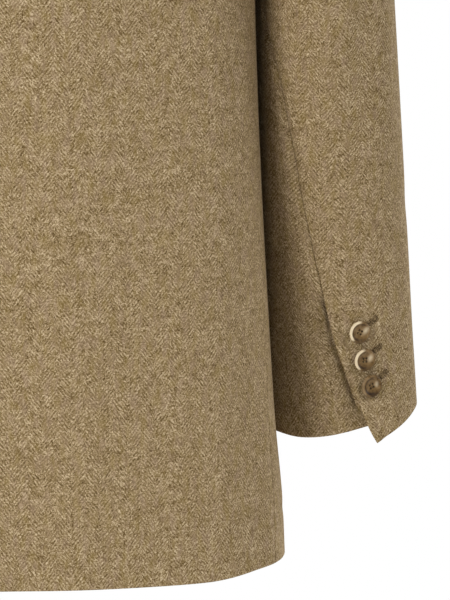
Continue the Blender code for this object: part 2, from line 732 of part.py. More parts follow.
def drill_holes(button, size):
    """Cuts the thread holes through a button."""
    cutter = bmesh.new()
    for i in range(BUTTON_HOLES):
        a = 2 * math.pi * (i + 0.5) / BUTTON_HOLES
        made = bmesh.ops.create_cone(
            cutter, cap_ends=True, segments=6, radius1=size.hole_diameter / 2, radius2=size.hole_diameter / 2,
            depth=size.thickness * 4,
        )
        shift = (math.cos(a) * size.hole_circle / 2, math.sin(a) * size.hole_circle / 2, 0)
        bmesh.ops.translate(cutter, verts=made["verts"], vec=shift)
    data = bpy.data.meshes.new(button.name + "_holes")
    cutter.to_mesh(data)
    cutter.free()
    obj = bpy.data.objects.new(data.name, data)
    obj.hide_render = True
    obj.display_type = "WIRE"
    obj.parent = button
    bpy.data.collections["overcoat_cutters"].objects.link(obj)
    cut = button.modifiers.new("thread_holes", "BOOLEAN")
    cut.operation = "DIFFERENCE"
    cut.object = obj


def seated(point, u, v, flip):
    """Where a button sits on a panel: the panel's outer point and its outward direction."""
    u, v = np.array([u]), np.array([v])
    n = normals(point, u, v)[0] * (-1.0 if flip else 1.0)
    return point(u, v)[0], n


def make_buttons():
    """Three buttons on each cuff and three down the front."""
    for name, side in (("left", 1), ("right", -1)):
        face = top_sleeve_point(side)
        hem = table(TOP_HEM, "share", "z")
        for i, button in enumerate(CUFF_BUTTONS, 1):
            elbow = SEAM_COLUMN["elbow_deg"](button.z)
            front = SEAM_COLUMN["front_deg"](button.z) - 360
            u = (elbow - button.inset_deg - front) / (elbow - front)
            v = VENT_SHARE * (button.z - hem(u)) / (VENT_TOP_Z - hem(u))
            centre, out = seated(face, u, v, side < 0)
            tip = math.radians(CUFF_BUTTON_TIP_DEG)
            across = np.array((side, 0.0, 0.0)) - out * side * out[0]
            tipped = out * math.cos(tip) + across / np.linalg.norm(across) * math.sin(tip)
            centre = centre + out * CUFF_BUTTON.diameter * 0.26 * math.sin(tip)
            make_button(f"cuff_button_{name}_{i}", CUFF_BUTTON, centre, tipped)
    face = front_point(1)
    for i, z in enumerate(FRONT_BUTTON_Z, 1):
        heights = np.linspace(0, FRONT_BREAK, 400)
        v = heights[np.argmin(np.abs(face(np.zeros(400), heights)[:, 2] - z))]
        along = np.linspace(0, 0.3, 400)
        u = along[np.argmin(np.abs(face(along, np.full(400, v))[:, 0]))]
        centre, out = seated(face, u, v, False)
        make_button(f"front_button_{i}", FRONT_BUTTON, centre, out)


def material(name, finish):
    """A Principled material with a finish's values."""
    made = bpy.data.materials.new(name)
    made.use_nodes = True
    shader = made.node_tree.nodes["Principled BSDF"]
    shader.inputs["Base Color"].default_value = finish.colour
    shader.inputs["Roughness"].default_value = finish.roughness
    shader.inputs["Metallic"].default_value = finish.metallic
    return made


def main():
    """Clears the scene and makes the coat."""
    for obj in list(bpy.data.objects):
        bpy.data.objects.remove(obj)
    for name in ("overcoat", "overcoat_cutters"):
        collection = bpy.data.collections.new(name)
        bpy.context.scene.collection.children.link(collection)
    make_back()
    make_fronts()
    make_sleeves()
    make_lapels()
    make_collar()
    make_buttons()


main()
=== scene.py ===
"""Looks of a short single-breasted overcoat in herringbone wool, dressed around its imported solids.

Metres, +Z up. The wearer faces -Y and the wearer's left side is +X. Every cut piece of cloth is a thin
shell on the sewn surface of its solid, closely sampled, with turned edges, soft creases and a weave that
follows the grain. Buttons, their thread and the worked buttonholes are pieces of their own.
"""

import logging
import math
from dataclasses import dataclass, field
from enum import Enum
from typing import Callable, NamedTuple, Sequence

import bmesh
import bpy
import numpy as np
from mathutils import Matrix, Vector
from mathutils.bvhtree import BVHTree


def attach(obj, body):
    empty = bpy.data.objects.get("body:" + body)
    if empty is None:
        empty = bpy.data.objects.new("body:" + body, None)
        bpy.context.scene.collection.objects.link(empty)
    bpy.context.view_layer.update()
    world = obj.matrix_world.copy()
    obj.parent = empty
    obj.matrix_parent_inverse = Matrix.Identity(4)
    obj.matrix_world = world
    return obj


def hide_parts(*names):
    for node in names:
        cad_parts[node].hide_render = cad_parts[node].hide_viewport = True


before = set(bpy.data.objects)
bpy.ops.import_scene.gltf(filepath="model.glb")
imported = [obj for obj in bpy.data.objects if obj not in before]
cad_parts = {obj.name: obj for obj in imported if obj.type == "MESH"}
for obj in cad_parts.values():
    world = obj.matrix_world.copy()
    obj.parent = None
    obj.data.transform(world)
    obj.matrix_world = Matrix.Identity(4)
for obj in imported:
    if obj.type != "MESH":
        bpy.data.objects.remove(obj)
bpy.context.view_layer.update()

LOG = logging.getLogger("overcoat")
BODY = "root"
GRAIN_MAP = "grain"
# Attribute that paints highlight and shade on the horn buttons.
PAINTED_HORN_LIGHT = "tone"

Array = np.ndarray
Surface = Callable[[Array, Array], Array]
Curve = Callable[[Array], Array]
Colour = tuple[float, float, float]
Place = tuple[float, float, float]
Span = tuple[float, float]
Socket = bpy.types.NodeSocket

# Cloth and seams
CLOTH = 0.0024
SEAM_GAP = 0.00006
LAP_GAP = 0.0010
HEM_ALLOWANCE = 0.040
ROW_SAMPLES = 321
FREE_TURN = 0.48 * CLOTH
SEAM_TURN = 0.0010
SEWN_EASE = 0.035
VENT_SHARE = 0.25

# Fades and sampling
VENT_HOLD = 0.08
VENT_TURN = 0.03
LIP_EASE = 0.03
CREASE_END = 0.35
CREASE_TAPER = 0.7
CORNER_SHARE = 0.25
EDGE_STEPS = (0.0, 0.08, 0.30, 0.62, 1.05)
COARSE_PLACES = 33
SHARP_EDGE_DEG = 50.0


class Side(Enum):
    """A side of the coat, by the wearer's own left and right."""

    LEFT = 1
    RIGHT = -1

    @property
    def word(self) -> str:
        """The side's name as it stands in piece names."""
        return self.name.lower()

    def mirrored(self, points: Array) -> Array:
        """Points of the left side as they lie on this one."""
        return points * np.array((self.value, 1.0, 1.0))


class Edge(Enum):
    """How an edge of a cut piece is finished; firm is free but held, and a vent is sewn above its top."""

    SEWN = "sewn"
    FIRM = "firm"
    FREE = "free"
    VENT = "vent"


class Rim(Enum):
    """Which of a piece's edges is meant: its rows' start or end, or its bottom row."""

    START = 0
    END = 1
    BOTTOM = 2


class Hold(Enum):
    """How a piece of cloth is held."""

    HUNG = "hung"
    FOLDED = "folded"


class Panel(Enum):
    """A panel of the trunk."""

    BACK = "back"
    FRONT = "front"


class Seam(Enum):
    """A seam of the sleeve, by its column in the table of seams."""

    ELBOW = "elbow_deg"
    FRONT = "front_deg"


class Slot(Enum):
    """The record's material slots."""

    WOOL = "wool"
    HORN = "horn"


def smooth(x: Array) -> Array:
    """Eases from 0 to 1."""
    x = np.clip(x, 0.0, 1.0)
    return x * x * (3.0 - 2.0 * x)


def fade(x: Array, span: Span) -> Array:
    """Eases from 0 at a span's start to 1 at its width beyond, or before it where that is negative."""
    return smooth((x - span[0]) / span[1])


def hump(x: Array, span: Span) -> Array:
    """A soft hump about a span's first value, with the second as its reach."""
    return np.exp(-(((x - span[0]) / span[1]) ** 2))


def power(x: Array, squareness: float) -> Array:
    """A sine or cosine bent towards the square, keeping its sign."""
    return np.sign(x) * np.abs(x) ** (2.0 / squareness)


def hermite(p0: Array, p1: Array, m0: Array, m1: Array, t: Array) -> Array:
    """A point of the cubic curve between two points.

    Args:
        p0: First point.
        p1: Last point.
        m0: Slope at the first point.
        m1: Slope at the last point.
        t: Place along the curve, 0 to 1.

    Returns:
        The point at t.
    """
    return (
        (2 * t**3 - 3 * t**2 + 1) * p0
        + (t**3 - 2 * t**2 + t) * m0
        + (3 * t**2 - 2 * t**3) * p1
        + (t**3 - t**2) * m1
    )


def unit(vectors: Array) -> Array:
    """The same directions at length 1."""
    return vectors / np.linalg.norm(vectors, axis=-1, keepdims=True)


def even(points: Array) -> Array:
    """The same line with ROW_SAMPLES points evenly spaced along it.

    Args:
        points: The line's points.

    Returns:
        The evenly spaced points.
    """
    steps = np.linalg.norm(np.diff(points, axis=0), axis=1)
    along = np.concatenate(([0.0], np.cumsum(steps)))
    at = np.linspace(0.0, along[-1], ROW_SAMPLES)
    return np.stack([np.interp(at, along, points[:, k]) for k in range(3)], axis=1)


def normals(surface: Surface, u: Array, v: Array) -> Array:
    """Unit normals of a surface, by small steps along it.

    Args:
        surface: The surface.
        u: Places along its rows.
        v: Places up its columns.

    Returns:
        One normal for each place.
    """
    step = 1e-4
    along = surface(np.minimum(u + step, 1), v) - surface(np.maximum(u - step, 0), v)
    up = surface(u, np.minimum(v + step, 1)) - surface(u, np.maximum(v - step, 0))
    return unit(np.cross(along, up))


def curve_through(rows: Sequence[NamedTuple], key: str, value: str) -> Curve:
    """A smooth curve through two columns of a table.

    Args:
        rows: The table.
        key: The column that the curve is a function of.
        value: The column that it gives.

    Returns:
        The curve, which stays level outside the table.
    """
    xs = np.array([getattr(r, key) for r in rows])
    order = np.argsort(xs)
    xs = xs[order]
    ys = np.array([getattr(r, value) for r in rows])[order]
    slopes = np.gradient(ys, xs)

    def at(x: Array) -> Array:
        """The curve's value at x.

        Args:
            x: Places in the key column.

        Returns:
            One value for each place.
        """
        x = np.clip(x, xs[0], xs[-1])
        k = np.clip(np.searchsorted(xs, x, side="right") - 1, 0, len(xs) - 2)
        span = xs[k + 1] - xs[k]
        return hermite(ys[k], ys[k + 1], slopes[k] * span, slopes[k + 1] * span, (x - xs[k]) / span)

    return at


def middle_line(v: Array) -> Array:
    """Half-way along every row."""
    return np.full_like(v, 0.5)


def knots_of(rows: Sequence[Array]) -> Array:
    """How far up a panel each row lies, 0 to 1, by the mean distance between rows.

    Args:
        rows: The rows, from one end of the panel to the other.

    Returns:
        One place for each row.
    """
    gaps = [np.linalg.norm(b - a, axis=1).mean() for a, b in zip(rows, rows[1:])]
    along = np.concatenate(([0.0], np.cumsum(gaps)))
    return along / along[-1]


class Loft:
    """A smooth surface through evenly sampled rows, called with u along a row and v across the rows."""

    def __init__(self, rows: Sequence[Array], top: Array | None = None, corner: int | None = None) -> None:
        """Keeps the rows and works out their slopes.

        Args:
            rows: The rows, each of ROW_SAMPLES points.
            top: Direction in which the panel reaches its last row, if it is given.
            corner: The row where the far edge leaves its straight seam for the armhole, if there is one.
        """
        self.stack = np.array(rows)
        self.knots = knots_of(rows)
        self.leaving = np.gradient(self.stack, self.knots, axis=0)
        if top is not None:
            step = np.linalg.norm(rows[-1] - rows[-2], axis=1)[:, None]
            self.leaving[-1] = top * step / (self.knots[-1] - self.knots[-2])
        self.arriving = self.leaving.copy()
        if corner is not None:
            chords = np.diff(self.stack, axis=0) / np.diff(self.knots)[:, None, None]
            sharp = smooth((np.linspace(0, 1, ROW_SAMPLES) - 1) / CORNER_SHARE + 1)[:, None]
            for row in (corner - 1, corner):
                self.arriving[row] += (chords[row - 1] - self.arriving[row]) * sharp
            self.leaving[corner - 1] += (chords[corner - 1] - self.leaving[corner - 1]) * sharp

    def __call__(self, u: Array, v: Array) -> Array:
        """Points of the surface.

        Args:
            u: Places along the rows, 0 to 1.
            v: Places across the rows, 0 to 1.

        Returns:
            One point for each place.
        """
        u = np.clip(np.asarray(u, float), 0.0, 1.0) * (ROW_SAMPLES - 1)
        v = np.clip(np.asarray(v, float), 0.0, 1.0)
        i = np.clip(u.astype(int), 0, ROW_SAMPLES - 2)
        f = (u - i)[..., None]
        k = np.clip(np.searchsorted(self.knots, v, side="right") - 1, 0, len(self.knots) - 2)
        span = (self.knots[k + 1] - self.knots[k])[..., None]
        t = (v - self.knots[k])[..., None] / span

        def pick(grid: Array, row: Array) -> Array:
            """A row's value at u."""
            return grid[row, i] * (1.0 - f) + grid[row, i + 1] * f

        leave = pick(self.leaving, k) * span
        arrive = pick(self.arriving, k + 1) * span
        return hermite(pick(self.stack, k), pick(self.stack, k + 1), leave, arrive, t)


class BodyRing(NamedTuple):
    """A level section of the body; seam_deg is where its side seam lies, 0 at the middle of the back."""

    z: float
    half_width: float
    back_depth: float
    front_depth: float
    seam_deg: float


class BackRow(NamedTuple):
    """A row of the back from its middle to a point of the armhole."""

    middle_y: float
    middle_z: float
    armhole_deg: float
    turn_deg: float


class FrontRow(NamedTuple):
    """A row of the front from the roll line to a point of the armhole."""

    roll_share: float
    middle_y: float
    armhole_deg: float
    turn_deg: float


SIDE_SEAM_TOP_DEG = 150.0
BODY_RINGS = (
    BodyRing(-0.8200, 0.2362, 0.1450, 0.1500, 69.0),
    BodyRing(-0.7700, 0.2342, 0.1436, 0.1490, 70.0),
    BodyRing(-0.7000, 0.2277, 0.1412, 0.1465, 72.0),
    BodyRing(-0.6100, 0.2219, 0.1372, 0.1430, 75.0),
    BodyRing(-0.5000, 0.2158, 0.1328, 0.1390, 77.0),
    BodyRing(-0.4000, 0.2116, 0.1294, 0.1362, 78.2),
    BodyRing(-0.3350, 0.2099, 0.1276, 0.1345, 78.9),
    BodyRing(-0.3000, 0.2099, 0.1276, 0.1345, 79.6),
)
BACK_ROWS = (
    BackRow(0.1270, -0.2620, SIDE_SEAM_TOP_DEG, 75.0),
    BackRow(0.1250, -0.2160, 126.0, 64.0),
    BackRow(0.1210, -0.1600, 100.0, 55.0),
    BackRow(0.1120, -0.1030, 74.0, 51.0),
    BackRow(0.1000, -0.0550, 50.0, 50.0),
)
FRONT_ROWS = (
    FrontRow(0.12, -0.1345, SIDE_SEAM_TOP_DEG, 99.0),
    FrontRow(0.27, -0.1330, 186.0, 92.0),
    FrontRow(0.43, -0.1270, 222.0, 80.0),
    FrontRow(0.61, -0.1110, 263.0, 63.0),
    FrontRow(0.82, -0.0720, 314.0, 47.0),
)


@dataclass
class Trunk:
    """The sewn surfaces of the back and fronts, from the hem to the neck and shoulders."""

    back_squareness: float = 2.6
    front_squareness: float = 2.4
    side_hem_rise: float = 0.0045
    hem_rise_span: Span = (0.6125, 0.35)
    row_rise_power: float = 1.4
    neck_back_depth: float = 0.074
    neck_point: Place = (0.084, -0.004, 0.020)
    neck_rise: Place = (0.0, -0.45, 0.9)
    neck_turn_span: Span = (0.8, 0.35)
    shoulder_point: Place = (0.222, -0.010, -0.046)
    shoulder_rise: Place = (0.0, -1.0, 0.0)
    shoulder_hollow: float = 0.004
    armhole_bottom_z: float = -0.262
    armhole_middle_y: float = -0.006
    armhole_back: float = 0.066
    armhole_front: float = 0.070
    armhole_squareness: float = 2.3
    armhole_bottom_x: float = 0.2065
    armhole_front_scoop: float = 0.016
    armhole_rise_power: float = 1.5
    front_overlap: float = 0.022
    front_row: float = 0.3
    front_gaps: float = 1.3
    lap_fade: float = 0.060
    lap_hold: float = 0.75
    lap_step: float = 0.05
    length_samples: int = 17
    lap_top_z: float = -0.170
    lap_lapel_z: float = -0.370
    neck: Array = field(init=False)
    shoulder: Array = field(init=False)
    back: Loft = field(init=False)
    front: Loft = field(init=False)
    break_height: float = field(init=False)

    def __post_init__(self) -> None:
        """Lofts the back and the wearer's left front."""
        self.neck = np.array(self.neck_point)
        self.shoulder = np.array(self.shoulder_point)
        self.back = self._loft_back()
        self.front = self._loft_front()
        self.break_height = self.front.knots[len(BODY_RINGS) - 1]

    def armhole(self, deg: Array) -> Array:
        """Points of the left armhole edge: 0 at the shoulder, 90 at the back, 180 under the arm.

        Args:
            deg: Angles round the armhole.

        Returns:
            One point for each angle.
        """
        a = np.radians(deg)
        s = power(np.sin(a), self.armhole_squareness)
        c = power(np.cos(a), self.armhole_squareness)
        top, bottom = self.shoulder[2], self.armhole_bottom_z
        y = self.armhole_middle_y + np.where(s > 0, self.armhole_back, self.armhole_front) * s
        y = y + (self.shoulder[1] - self.armhole_middle_y) * np.clip(c, 0, 1) ** 2
        z = (top + bottom) / 2 + (top - bottom) / 2 * c
        rise = ((1 + np.cos(a)) / 2) ** self.armhole_rise_power
        x = self.armhole_bottom_x + (self.shoulder[0] - self.armhole_bottom_x) * rise
        x = x - self.armhole_front_scoop * np.clip(-np.sin(a), 0, 1) ** 2
        return np.stack([x, y, z], axis=-1)

    def ring_points(self, ring: BodyRing, deg: Array) -> Array:
        """Points of a body ring: 0 at the middle of the back, 90 at the side, 180 at the front.

        Args:
            ring: The ring.
            deg: Angles round it.

        Returns:
            One point for each angle.
        """
        a = np.radians(deg)
        back = np.cos(a) > 0
        squareness = np.where(back, self.back_squareness, self.front_squareness)
        x = ring.half_width * power(np.sin(a), squareness)
        y = np.where(back, ring.back_depth, ring.front_depth) * power(np.cos(a), squareness)
        at_hem = ring.z == BODY_RINGS[0].z
        rise = self.side_hem_rise * fade(np.abs(np.sin(a)), self.hem_rise_span) * at_hem
        return np.stack([x, y, ring.z + rise], axis=-1)

    def arc_points(self, middle_y: float, end: Array, turn_deg: float, start: tuple[float, float]) -> Array:
        """A row from the middle line or the roll line to the armhole.

        Args:
            middle_y: How far out the row's arc would cross the middle of the coat.
            end: The point of the armhole.
            turn_deg: How far the arc turns on its way there.
            start: Across and up position where the row starts.

        Returns:
            The row's points.
        """
        turn = math.radians(turn_deg)
        first = math.asin(start[0] * math.sin(turn) / end[0])
        a = np.linspace(first, turn, ROW_SAMPLES)
        x = end[0] * np.sin(a) / math.sin(turn)
        y = end[1] + (middle_y - end[1]) * (np.cos(a) - math.cos(turn)) / (1 - math.cos(turn))
        z = start[1] + (end[2] - start[1]) * np.linspace(0, 1, ROW_SAMPLES) ** self.row_rise_power
        return np.stack([x, y, z], axis=1)

    def shoulder_line(self, shift_y: float) -> Array:
        """The shoulder seam from the neck point to the shoulder point, a little hollow.

        Args:
            shift_y: How far the line is moved towards the back.

        Returns:
            The line's points.
        """
        t = np.linspace(0, 1, ROW_SAMPLES)[:, None]
        line = self.neck * (1 - t) + self.shoulder * t
        line[:, 2] -= self.shoulder_hollow * np.sin(np.pi * t[:, 0])
        line[:, 1] += shift_y
        return line

    def _loft_back(self) -> Loft:
        """The back, from its middle line to the left side seam and armhole.

        Returns:
            The left half of the back.
        """
        rows = []
        for ring in BODY_RINGS:
            rows.append(even(self.ring_points(ring, np.linspace(0, ring.seam_deg, ROW_SAMPLES))))
        for row in BACK_ROWS:
            end = self.armhole(row.armhole_deg)
            rows.append(even(self.arc_points(row.middle_y, end, row.turn_deg, (0.0, row.middle_z))))
        w = np.linspace(0, math.pi / 2, ROW_SAMPLES)
        neck_edge = np.stack(
            [
                self.neck[0] * np.sin(w),
                self.neck[1] + (self.neck_back_depth - self.neck[1]) * np.cos(w),
                self.neck[2] * (1 - np.cos(w)),
            ],
            axis=1,
        )
        rows.append(even(np.concatenate((neck_edge, self.shoulder_line(SEAM_GAP)[1:]))))
        on_shoulder = fade(rows[-1][:, 0] / self.neck[0], self.neck_turn_span)[:, None]
        top = (1 - on_shoulder) * np.array(self.neck_rise) + on_shoulder * np.array(self.shoulder_rise)
        return Loft(rows, top, len(BODY_RINGS))

    def _loft_front(self) -> Loft:
        """The left front, from its front edge and roll line to the side seam and armhole.

        Returns:
            The front.
        """
        rows = []
        for ring in BODY_RINGS:
            past = math.asin((self.front_overlap / ring.half_width) ** (self.front_squareness / 2))
            turn = np.linspace(180 + math.degrees(past), ring.seam_deg, ROW_SAMPLES)
            rows.append(even(self.ring_points(ring, turn)))
        for row in FRONT_ROWS:
            start_x = -self.front_overlap + (self.neck[0] + self.front_overlap) * row.roll_share
            start_z = BODY_RINGS[-1].z + (self.neck[2] - BODY_RINGS[-1].z) * row.roll_share
            end = self.armhole(row.armhole_deg)
            rows.append(even(self.arc_points(row.middle_y, end, row.turn_deg, (start_x, start_z))))
        rows.append(even(self.shoulder_line(-SEAM_GAP)))
        return Loft(rows, -np.array(self.shoulder_rise), len(BODY_RINGS))

    def back_surface(self, u: Array, v: Array) -> Array:
        """Outer face of the whole back, u running from the right side to the left.

        Args:
            u: Places along the rows.
            v: Places up the piece.

        Returns:
            The points.
        """
        across = (SEAM_GAP + (1 - 2 * SEAM_GAP) * u) * 2 - 1
        half = self.back(np.abs(across), v)
        half[..., 0] *= np.sign(across)
        return half

    def front_surface(self, side: Side) -> Surface:
        """Outer face of one front; the right one lies under the left at the front edge.

        Args:
            side: Which front.

        Returns:
            The surface, u running from the front edge to the side seam.
        """
        inset = SEAM_GAP * self.front_gaps / self.front_row

        def surface(u: Array, v: Array) -> Array:
            """Points of the front.

            Args:
                u: Places along the rows.
                v: Places up the piece.

            Returns:
                The points.
            """
            u = inset + (1 - 2 * inset) * u
            p = self.front(u, v)
            if side is Side.RIGHT:
                edge = self.front(np.zeros_like(u), v)
                away = np.linalg.norm(p - edge, axis=-1)
                layers = 1 + smooth((edge[..., 2] - self.lap_lapel_z) / self.lap_step)
                layers = layers * smooth((self.lap_top_z - edge[..., 2]) / self.lap_step)
                lap = (CLOTH + LAP_GAP) * layers * (1 - smooth(away / self.lap_fade - self.lap_hold))
                p = p + lap[..., None] * np.array((0.0, 1.0, 0.0))
            return side.mirrored(p)

        return surface

    def front_height(self, share: Array) -> Array:
        """How far up the front a share of the way from the lapel's break to the neck point lies."""
        return np.asarray(self.break_height + (1 - self.break_height) * share)

    def row_length(self, v: Array) -> Array:
        """Length of a front row from the roll line to the armhole."""
        points = [self.front(np.full_like(v, u), v) for u in np.linspace(0, 1, self.length_samples)]
        return sum(np.linalg.norm(b - a, axis=-1) for a, b in zip(points, points[1:]))


class SleeveRing(NamedTuple):
    """A level section of the left sleeve."""

    z: float
    inner_x: float
    outer_x: float
    middle_y: float
    half_depth: float


class SleeveSeam(NamedTuple):
    """Where the sleeve's two seams lie round a section: 0 outwards, 90 to the back, 180 to the body."""

    z: float
    elbow_deg: float
    front_deg: float


class HemPoint(NamedTuple):
    """Height of a sleeve piece's hem at a share of the way across it."""

    share: float
    z: float


SLEEVE_RINGS = (
    SleeveRing(-0.300, 0.2130, 0.3290, -0.012, 0.080),
    SleeveRing(-0.420, 0.2130, 0.3378, -0.022, 0.073),
    SleeveRing(-0.550, 0.2167, 0.3474, -0.035, 0.061),
    SleeveRing(-0.630, 0.2197, 0.3530, -0.042, 0.054),
    SleeveRing(-0.674, 0.2213, 0.3565, -0.046, 0.050),
    SleeveRing(-0.730, 0.2247, 0.3605, -0.050, 0.047),
)
SLEEVE_SEAMS = (
    SleeveSeam(-0.3000, 166.0, 270.0),
    SleeveSeam(-0.3450, 160.0, 266.0),
    SleeveSeam(-0.3970, 140.0, 262.0),
    SleeveSeam(-0.4470, 127.8, 259.0),
    SleeveSeam(-0.5270, 113.2, 256.0),
    SleeveSeam(-0.5900, 102.4, 254.0),
    SleeveSeam(-0.6456, 92.2, 252.0),
    SleeveSeam(-0.6850, 82.6, 251.0),
    SleeveSeam(-0.7160, 74.5, 250.0),
    SleeveSeam(-0.7235, 71.5, 250.0),
)
TOP_HEM = (
    HemPoint(0.000, -0.7010),
    HemPoint(0.386, -0.6925),
    HemPoint(0.630, -0.6955),
    HemPoint(0.800, -0.7045),
    HemPoint(0.935, -0.7160),
    HemPoint(1.000, -0.7228),
)
UNDER_HEM = (
    HemPoint(0.000, -0.7080),
    HemPoint(0.105, -0.7120),
    HemPoint(0.194, -0.7172),
    HemPoint(0.333, -0.7208),
    HemPoint(0.484, -0.7182),
    HemPoint(0.740, -0.7120),
    HemPoint(1.000, -0.7010),
)


@dataclass
class Sleeve:
    """The sewn surfaces of a two-piece sleeve with a vented cuff, set into the trunk's armhole."""

    trunk: Trunk
    squareness: float = 2.15
    cap_elbow_deg: float = 138.0
    cap_front_deg: float = 246.0
    cap_rise: float = 0.80
    cap_roll: float = 0.70
    set_top: float = -0.0003
    set_bottom: float = 0.0006
    cuff_radius: float = 0.058
    cap_share: float = 0.30
    seam_deg_gap: float = 0.04
    vent_top_z: float = -0.597
    vent_fade: float = 0.022
    vent_lift: float = 0.0036
    vent_lift_hem: float = 0.0065
    vent_lift_width: float = 0.055
    vent_underlap: float = 0.014
    under_straight_deg: float = 190.0
    roll_lift: float = 0.15
    roll_ease: float = 0.75
    bicep_step: float = 0.01
    edge_samples: int = 240
    ring: dict[str, Curve] = field(init=False)
    seam: dict[Seam, Curve] = field(init=False)
    top_hem: Curve = field(init=False)
    under_hem: Curve = field(init=False)
    edge_deg: Array = field(init=False)
    edge: Array = field(init=False)

    def __post_init__(self) -> None:
        """Reads the tables as curves and follows the armhole edge of the panels."""
        columns = ("inner_x", "outer_x", "middle_y", "half_depth")
        self.ring = {column: curve_through(SLEEVE_RINGS, "z", column) for column in columns}
        self.seam = {seam: curve_through(SLEEVE_SEAMS, "z", seam.value) for seam in Seam}
        self.top_hem = curve_through(TOP_HEM, "share", "z")
        self.under_hem = curve_through(UNDER_HEM, "share", "z")
        self.edge_deg, self.edge = self._armhole_edge()

    def _armhole_edge(self) -> tuple[Array, Array]:
        """The armhole edge as the panels have it, with the angle of each of its points.

        Returns:
            The angles and the points.
        """
        trunk = self.trunk
        rise = np.linspace(0, 1, self.edge_samples)
        sides = []
        for panel in (trunk.back, trunk.front):
            bottom = panel.knots[len(BODY_RINGS)]
            sides.append(panel(np.ones_like(rise), bottom + (1 - bottom) * rise))
        edge = np.concatenate((sides[0][::-1], sides[1][1:]))
        top, bottom = trunk.shoulder[2], trunk.armhole_bottom_z
        across = edge[:, 1] - trunk.armhole_middle_y
        depth = np.where(across > 0, trunk.armhole_back, trunk.armhole_front)
        up = (edge[:, 2] - (top + bottom) / 2) / ((top - bottom) / 2)
        return np.degrees(np.unwrap(np.arctan2(across / depth, up))), edge

    def _ring_points(self, deg: Array, z: Array) -> Array:
        """Points of the left sleeve below the bicep.

        Args:
            deg: Angles round the sleeve.
            z: Heights.

        Returns:
            One point for each angle and height.
        """
        a = np.radians(deg)
        inner, outer = self.ring["inner_x"](z), self.ring["outer_x"](z)
        x = (outer + inner) / 2 + (outer - inner) / 2 * power(np.cos(a), self.squareness)
        y = self.ring["middle_y"](z) + self.ring["half_depth"](z) * power(np.sin(a), self.squareness)
        return np.stack([x, y, z], axis=-1)

    def _seat(self, deg: Array) -> Array:
        """Where the sleeve head ends, at the armhole edge.

        Args:
            deg: Angles round the sleeve.

        Returns:
            One point for each angle.
        """
        around = self.edge_deg[0] + np.mod(deg - self.edge_deg[0], 360.0)
        around = np.minimum(around, self.edge_deg[-1])
        seat = np.stack([np.interp(around, self.edge_deg, self.edge[:, k]) for k in range(3)], axis=-1)
        under = (1 - np.cos(np.radians(deg))) / 2
        seat[..., 0] += self.set_top + (self.set_bottom - self.set_top) * under**2
        return seat

    def _cap(self, deg: Array, share: Array) -> Array:
        """Points of the sleeve head between the bicep and the armhole.

        Args:
            deg: Angles round the sleeve.
            share: Places from the bicep, 0, to the armhole, 1.

        Returns:
            The points.
        """
        bicep_z = SLEEVE_RINGS[0].z
        foot = self._ring_points(deg, np.full_like(deg, bicep_z))
        below = self._ring_points(deg, np.full_like(deg, bicep_z - self.bicep_step))
        seat = self._seat(deg)
        under = (1 - np.cos(np.radians(deg))) / 2
        length = np.linalg.norm(seat - foot, axis=-1, keepdims=True)
        rise = unit(foot - below) * length * self.cap_rise
        eased = 1 - self.roll_ease * under[..., None]
        roll = np.array((-1.0, 0.0, self.roll_lift)) * length * self.cap_roll * eased
        return hermite(foot, seat, rise, roll, share[..., None])

    def _height(self, hem_z: Array, v: Array) -> Array:
        """Height of a point below the bicep: from the hem to the vent's top, then on to the bicep.

        Args:
            hem_z: Heights of the hem.
            v: Places along the sleeve.

        Returns:
            One height for each place.
        """
        low = np.clip(v / VENT_SHARE, 0, 1)
        high = np.clip((v - VENT_SHARE) / (1 - self.cap_share - VENT_SHARE), 0, 1)
        along_vent = hem_z + (self.vent_top_z - hem_z) * low
        above_vent = self.vent_top_z + (SLEEVE_RINGS[0].z - self.vent_top_z) * high
        return np.where(v < VENT_SHARE, along_vent, above_vent)

    def _points(self, deg: Array, hem_z: Array, v: Array) -> Array:
        """Points of the sleeve: v runs from the hem to the bicep, then over the head to the armhole.

        Args:
            deg: Angles round the sleeve.
            hem_z: Heights of the hem.
            v: Places along the sleeve.

        Returns:
            The points.
        """
        tube = self._ring_points(deg, self._height(hem_z, v))
        cap = self._cap(deg, np.clip((v - 1 + self.cap_share) / self.cap_share, 0, 1))
        return np.where((v > 1 - self.cap_share)[..., None], cap, tube)

    def _seam_deg(self, v: Array, seam: Seam, corner_z: float, gap: int) -> Array:
        """Angle of a seam along a piece.

        Args:
            v: Places along the sleeve.
            seam: Which seam.
            corner_z: Height of the piece's lower corner at that seam.
            gap: 1 or -1, the side of the seam on which the piece lies.

        Returns:
            The angle at each place, half a seam gap to that side.
        """
        at = self.seam[seam](self._height(corner_z, v))
        on_cap = smooth((v - 1 + self.cap_share) / self.cap_share)
        cap_deg = self.cap_elbow_deg if seam is Seam.ELBOW else self.cap_front_deg
        return at + (cap_deg - at) * on_cap + gap * self.seam_deg_gap

    def _top_turn(self, v: Array) -> tuple[Array, Array]:
        """Angles of the top sleeve's front and elbow edges."""
        front = self._seam_deg(v, Seam.FRONT, TOP_HEM[0].z, 1) - 360
        return front, self._seam_deg(v, Seam.ELBOW, TOP_HEM[-1].z, -1)

    def _under_turn(self, v: Array) -> tuple[Array, Array]:
        """Angles of the under sleeve's elbow and front edges, the first running on beneath the vent."""
        elbow = self._seam_deg(v, Seam.ELBOW, UNDER_HEM[0].z, 1) - self._underlap(v)
        return elbow, self._seam_deg(v, Seam.FRONT, UNDER_HEM[-1].z, -1)

    def _underlap(self, v: Array) -> Array:
        """Angle by which the under sleeve runs on beneath the vent."""
        below = self.vent_top_z - self._height(UNDER_HEM[0].z, v)
        return math.degrees(self.vent_underlap / self.cuff_radius) * smooth(below / self.vent_fade - 1)

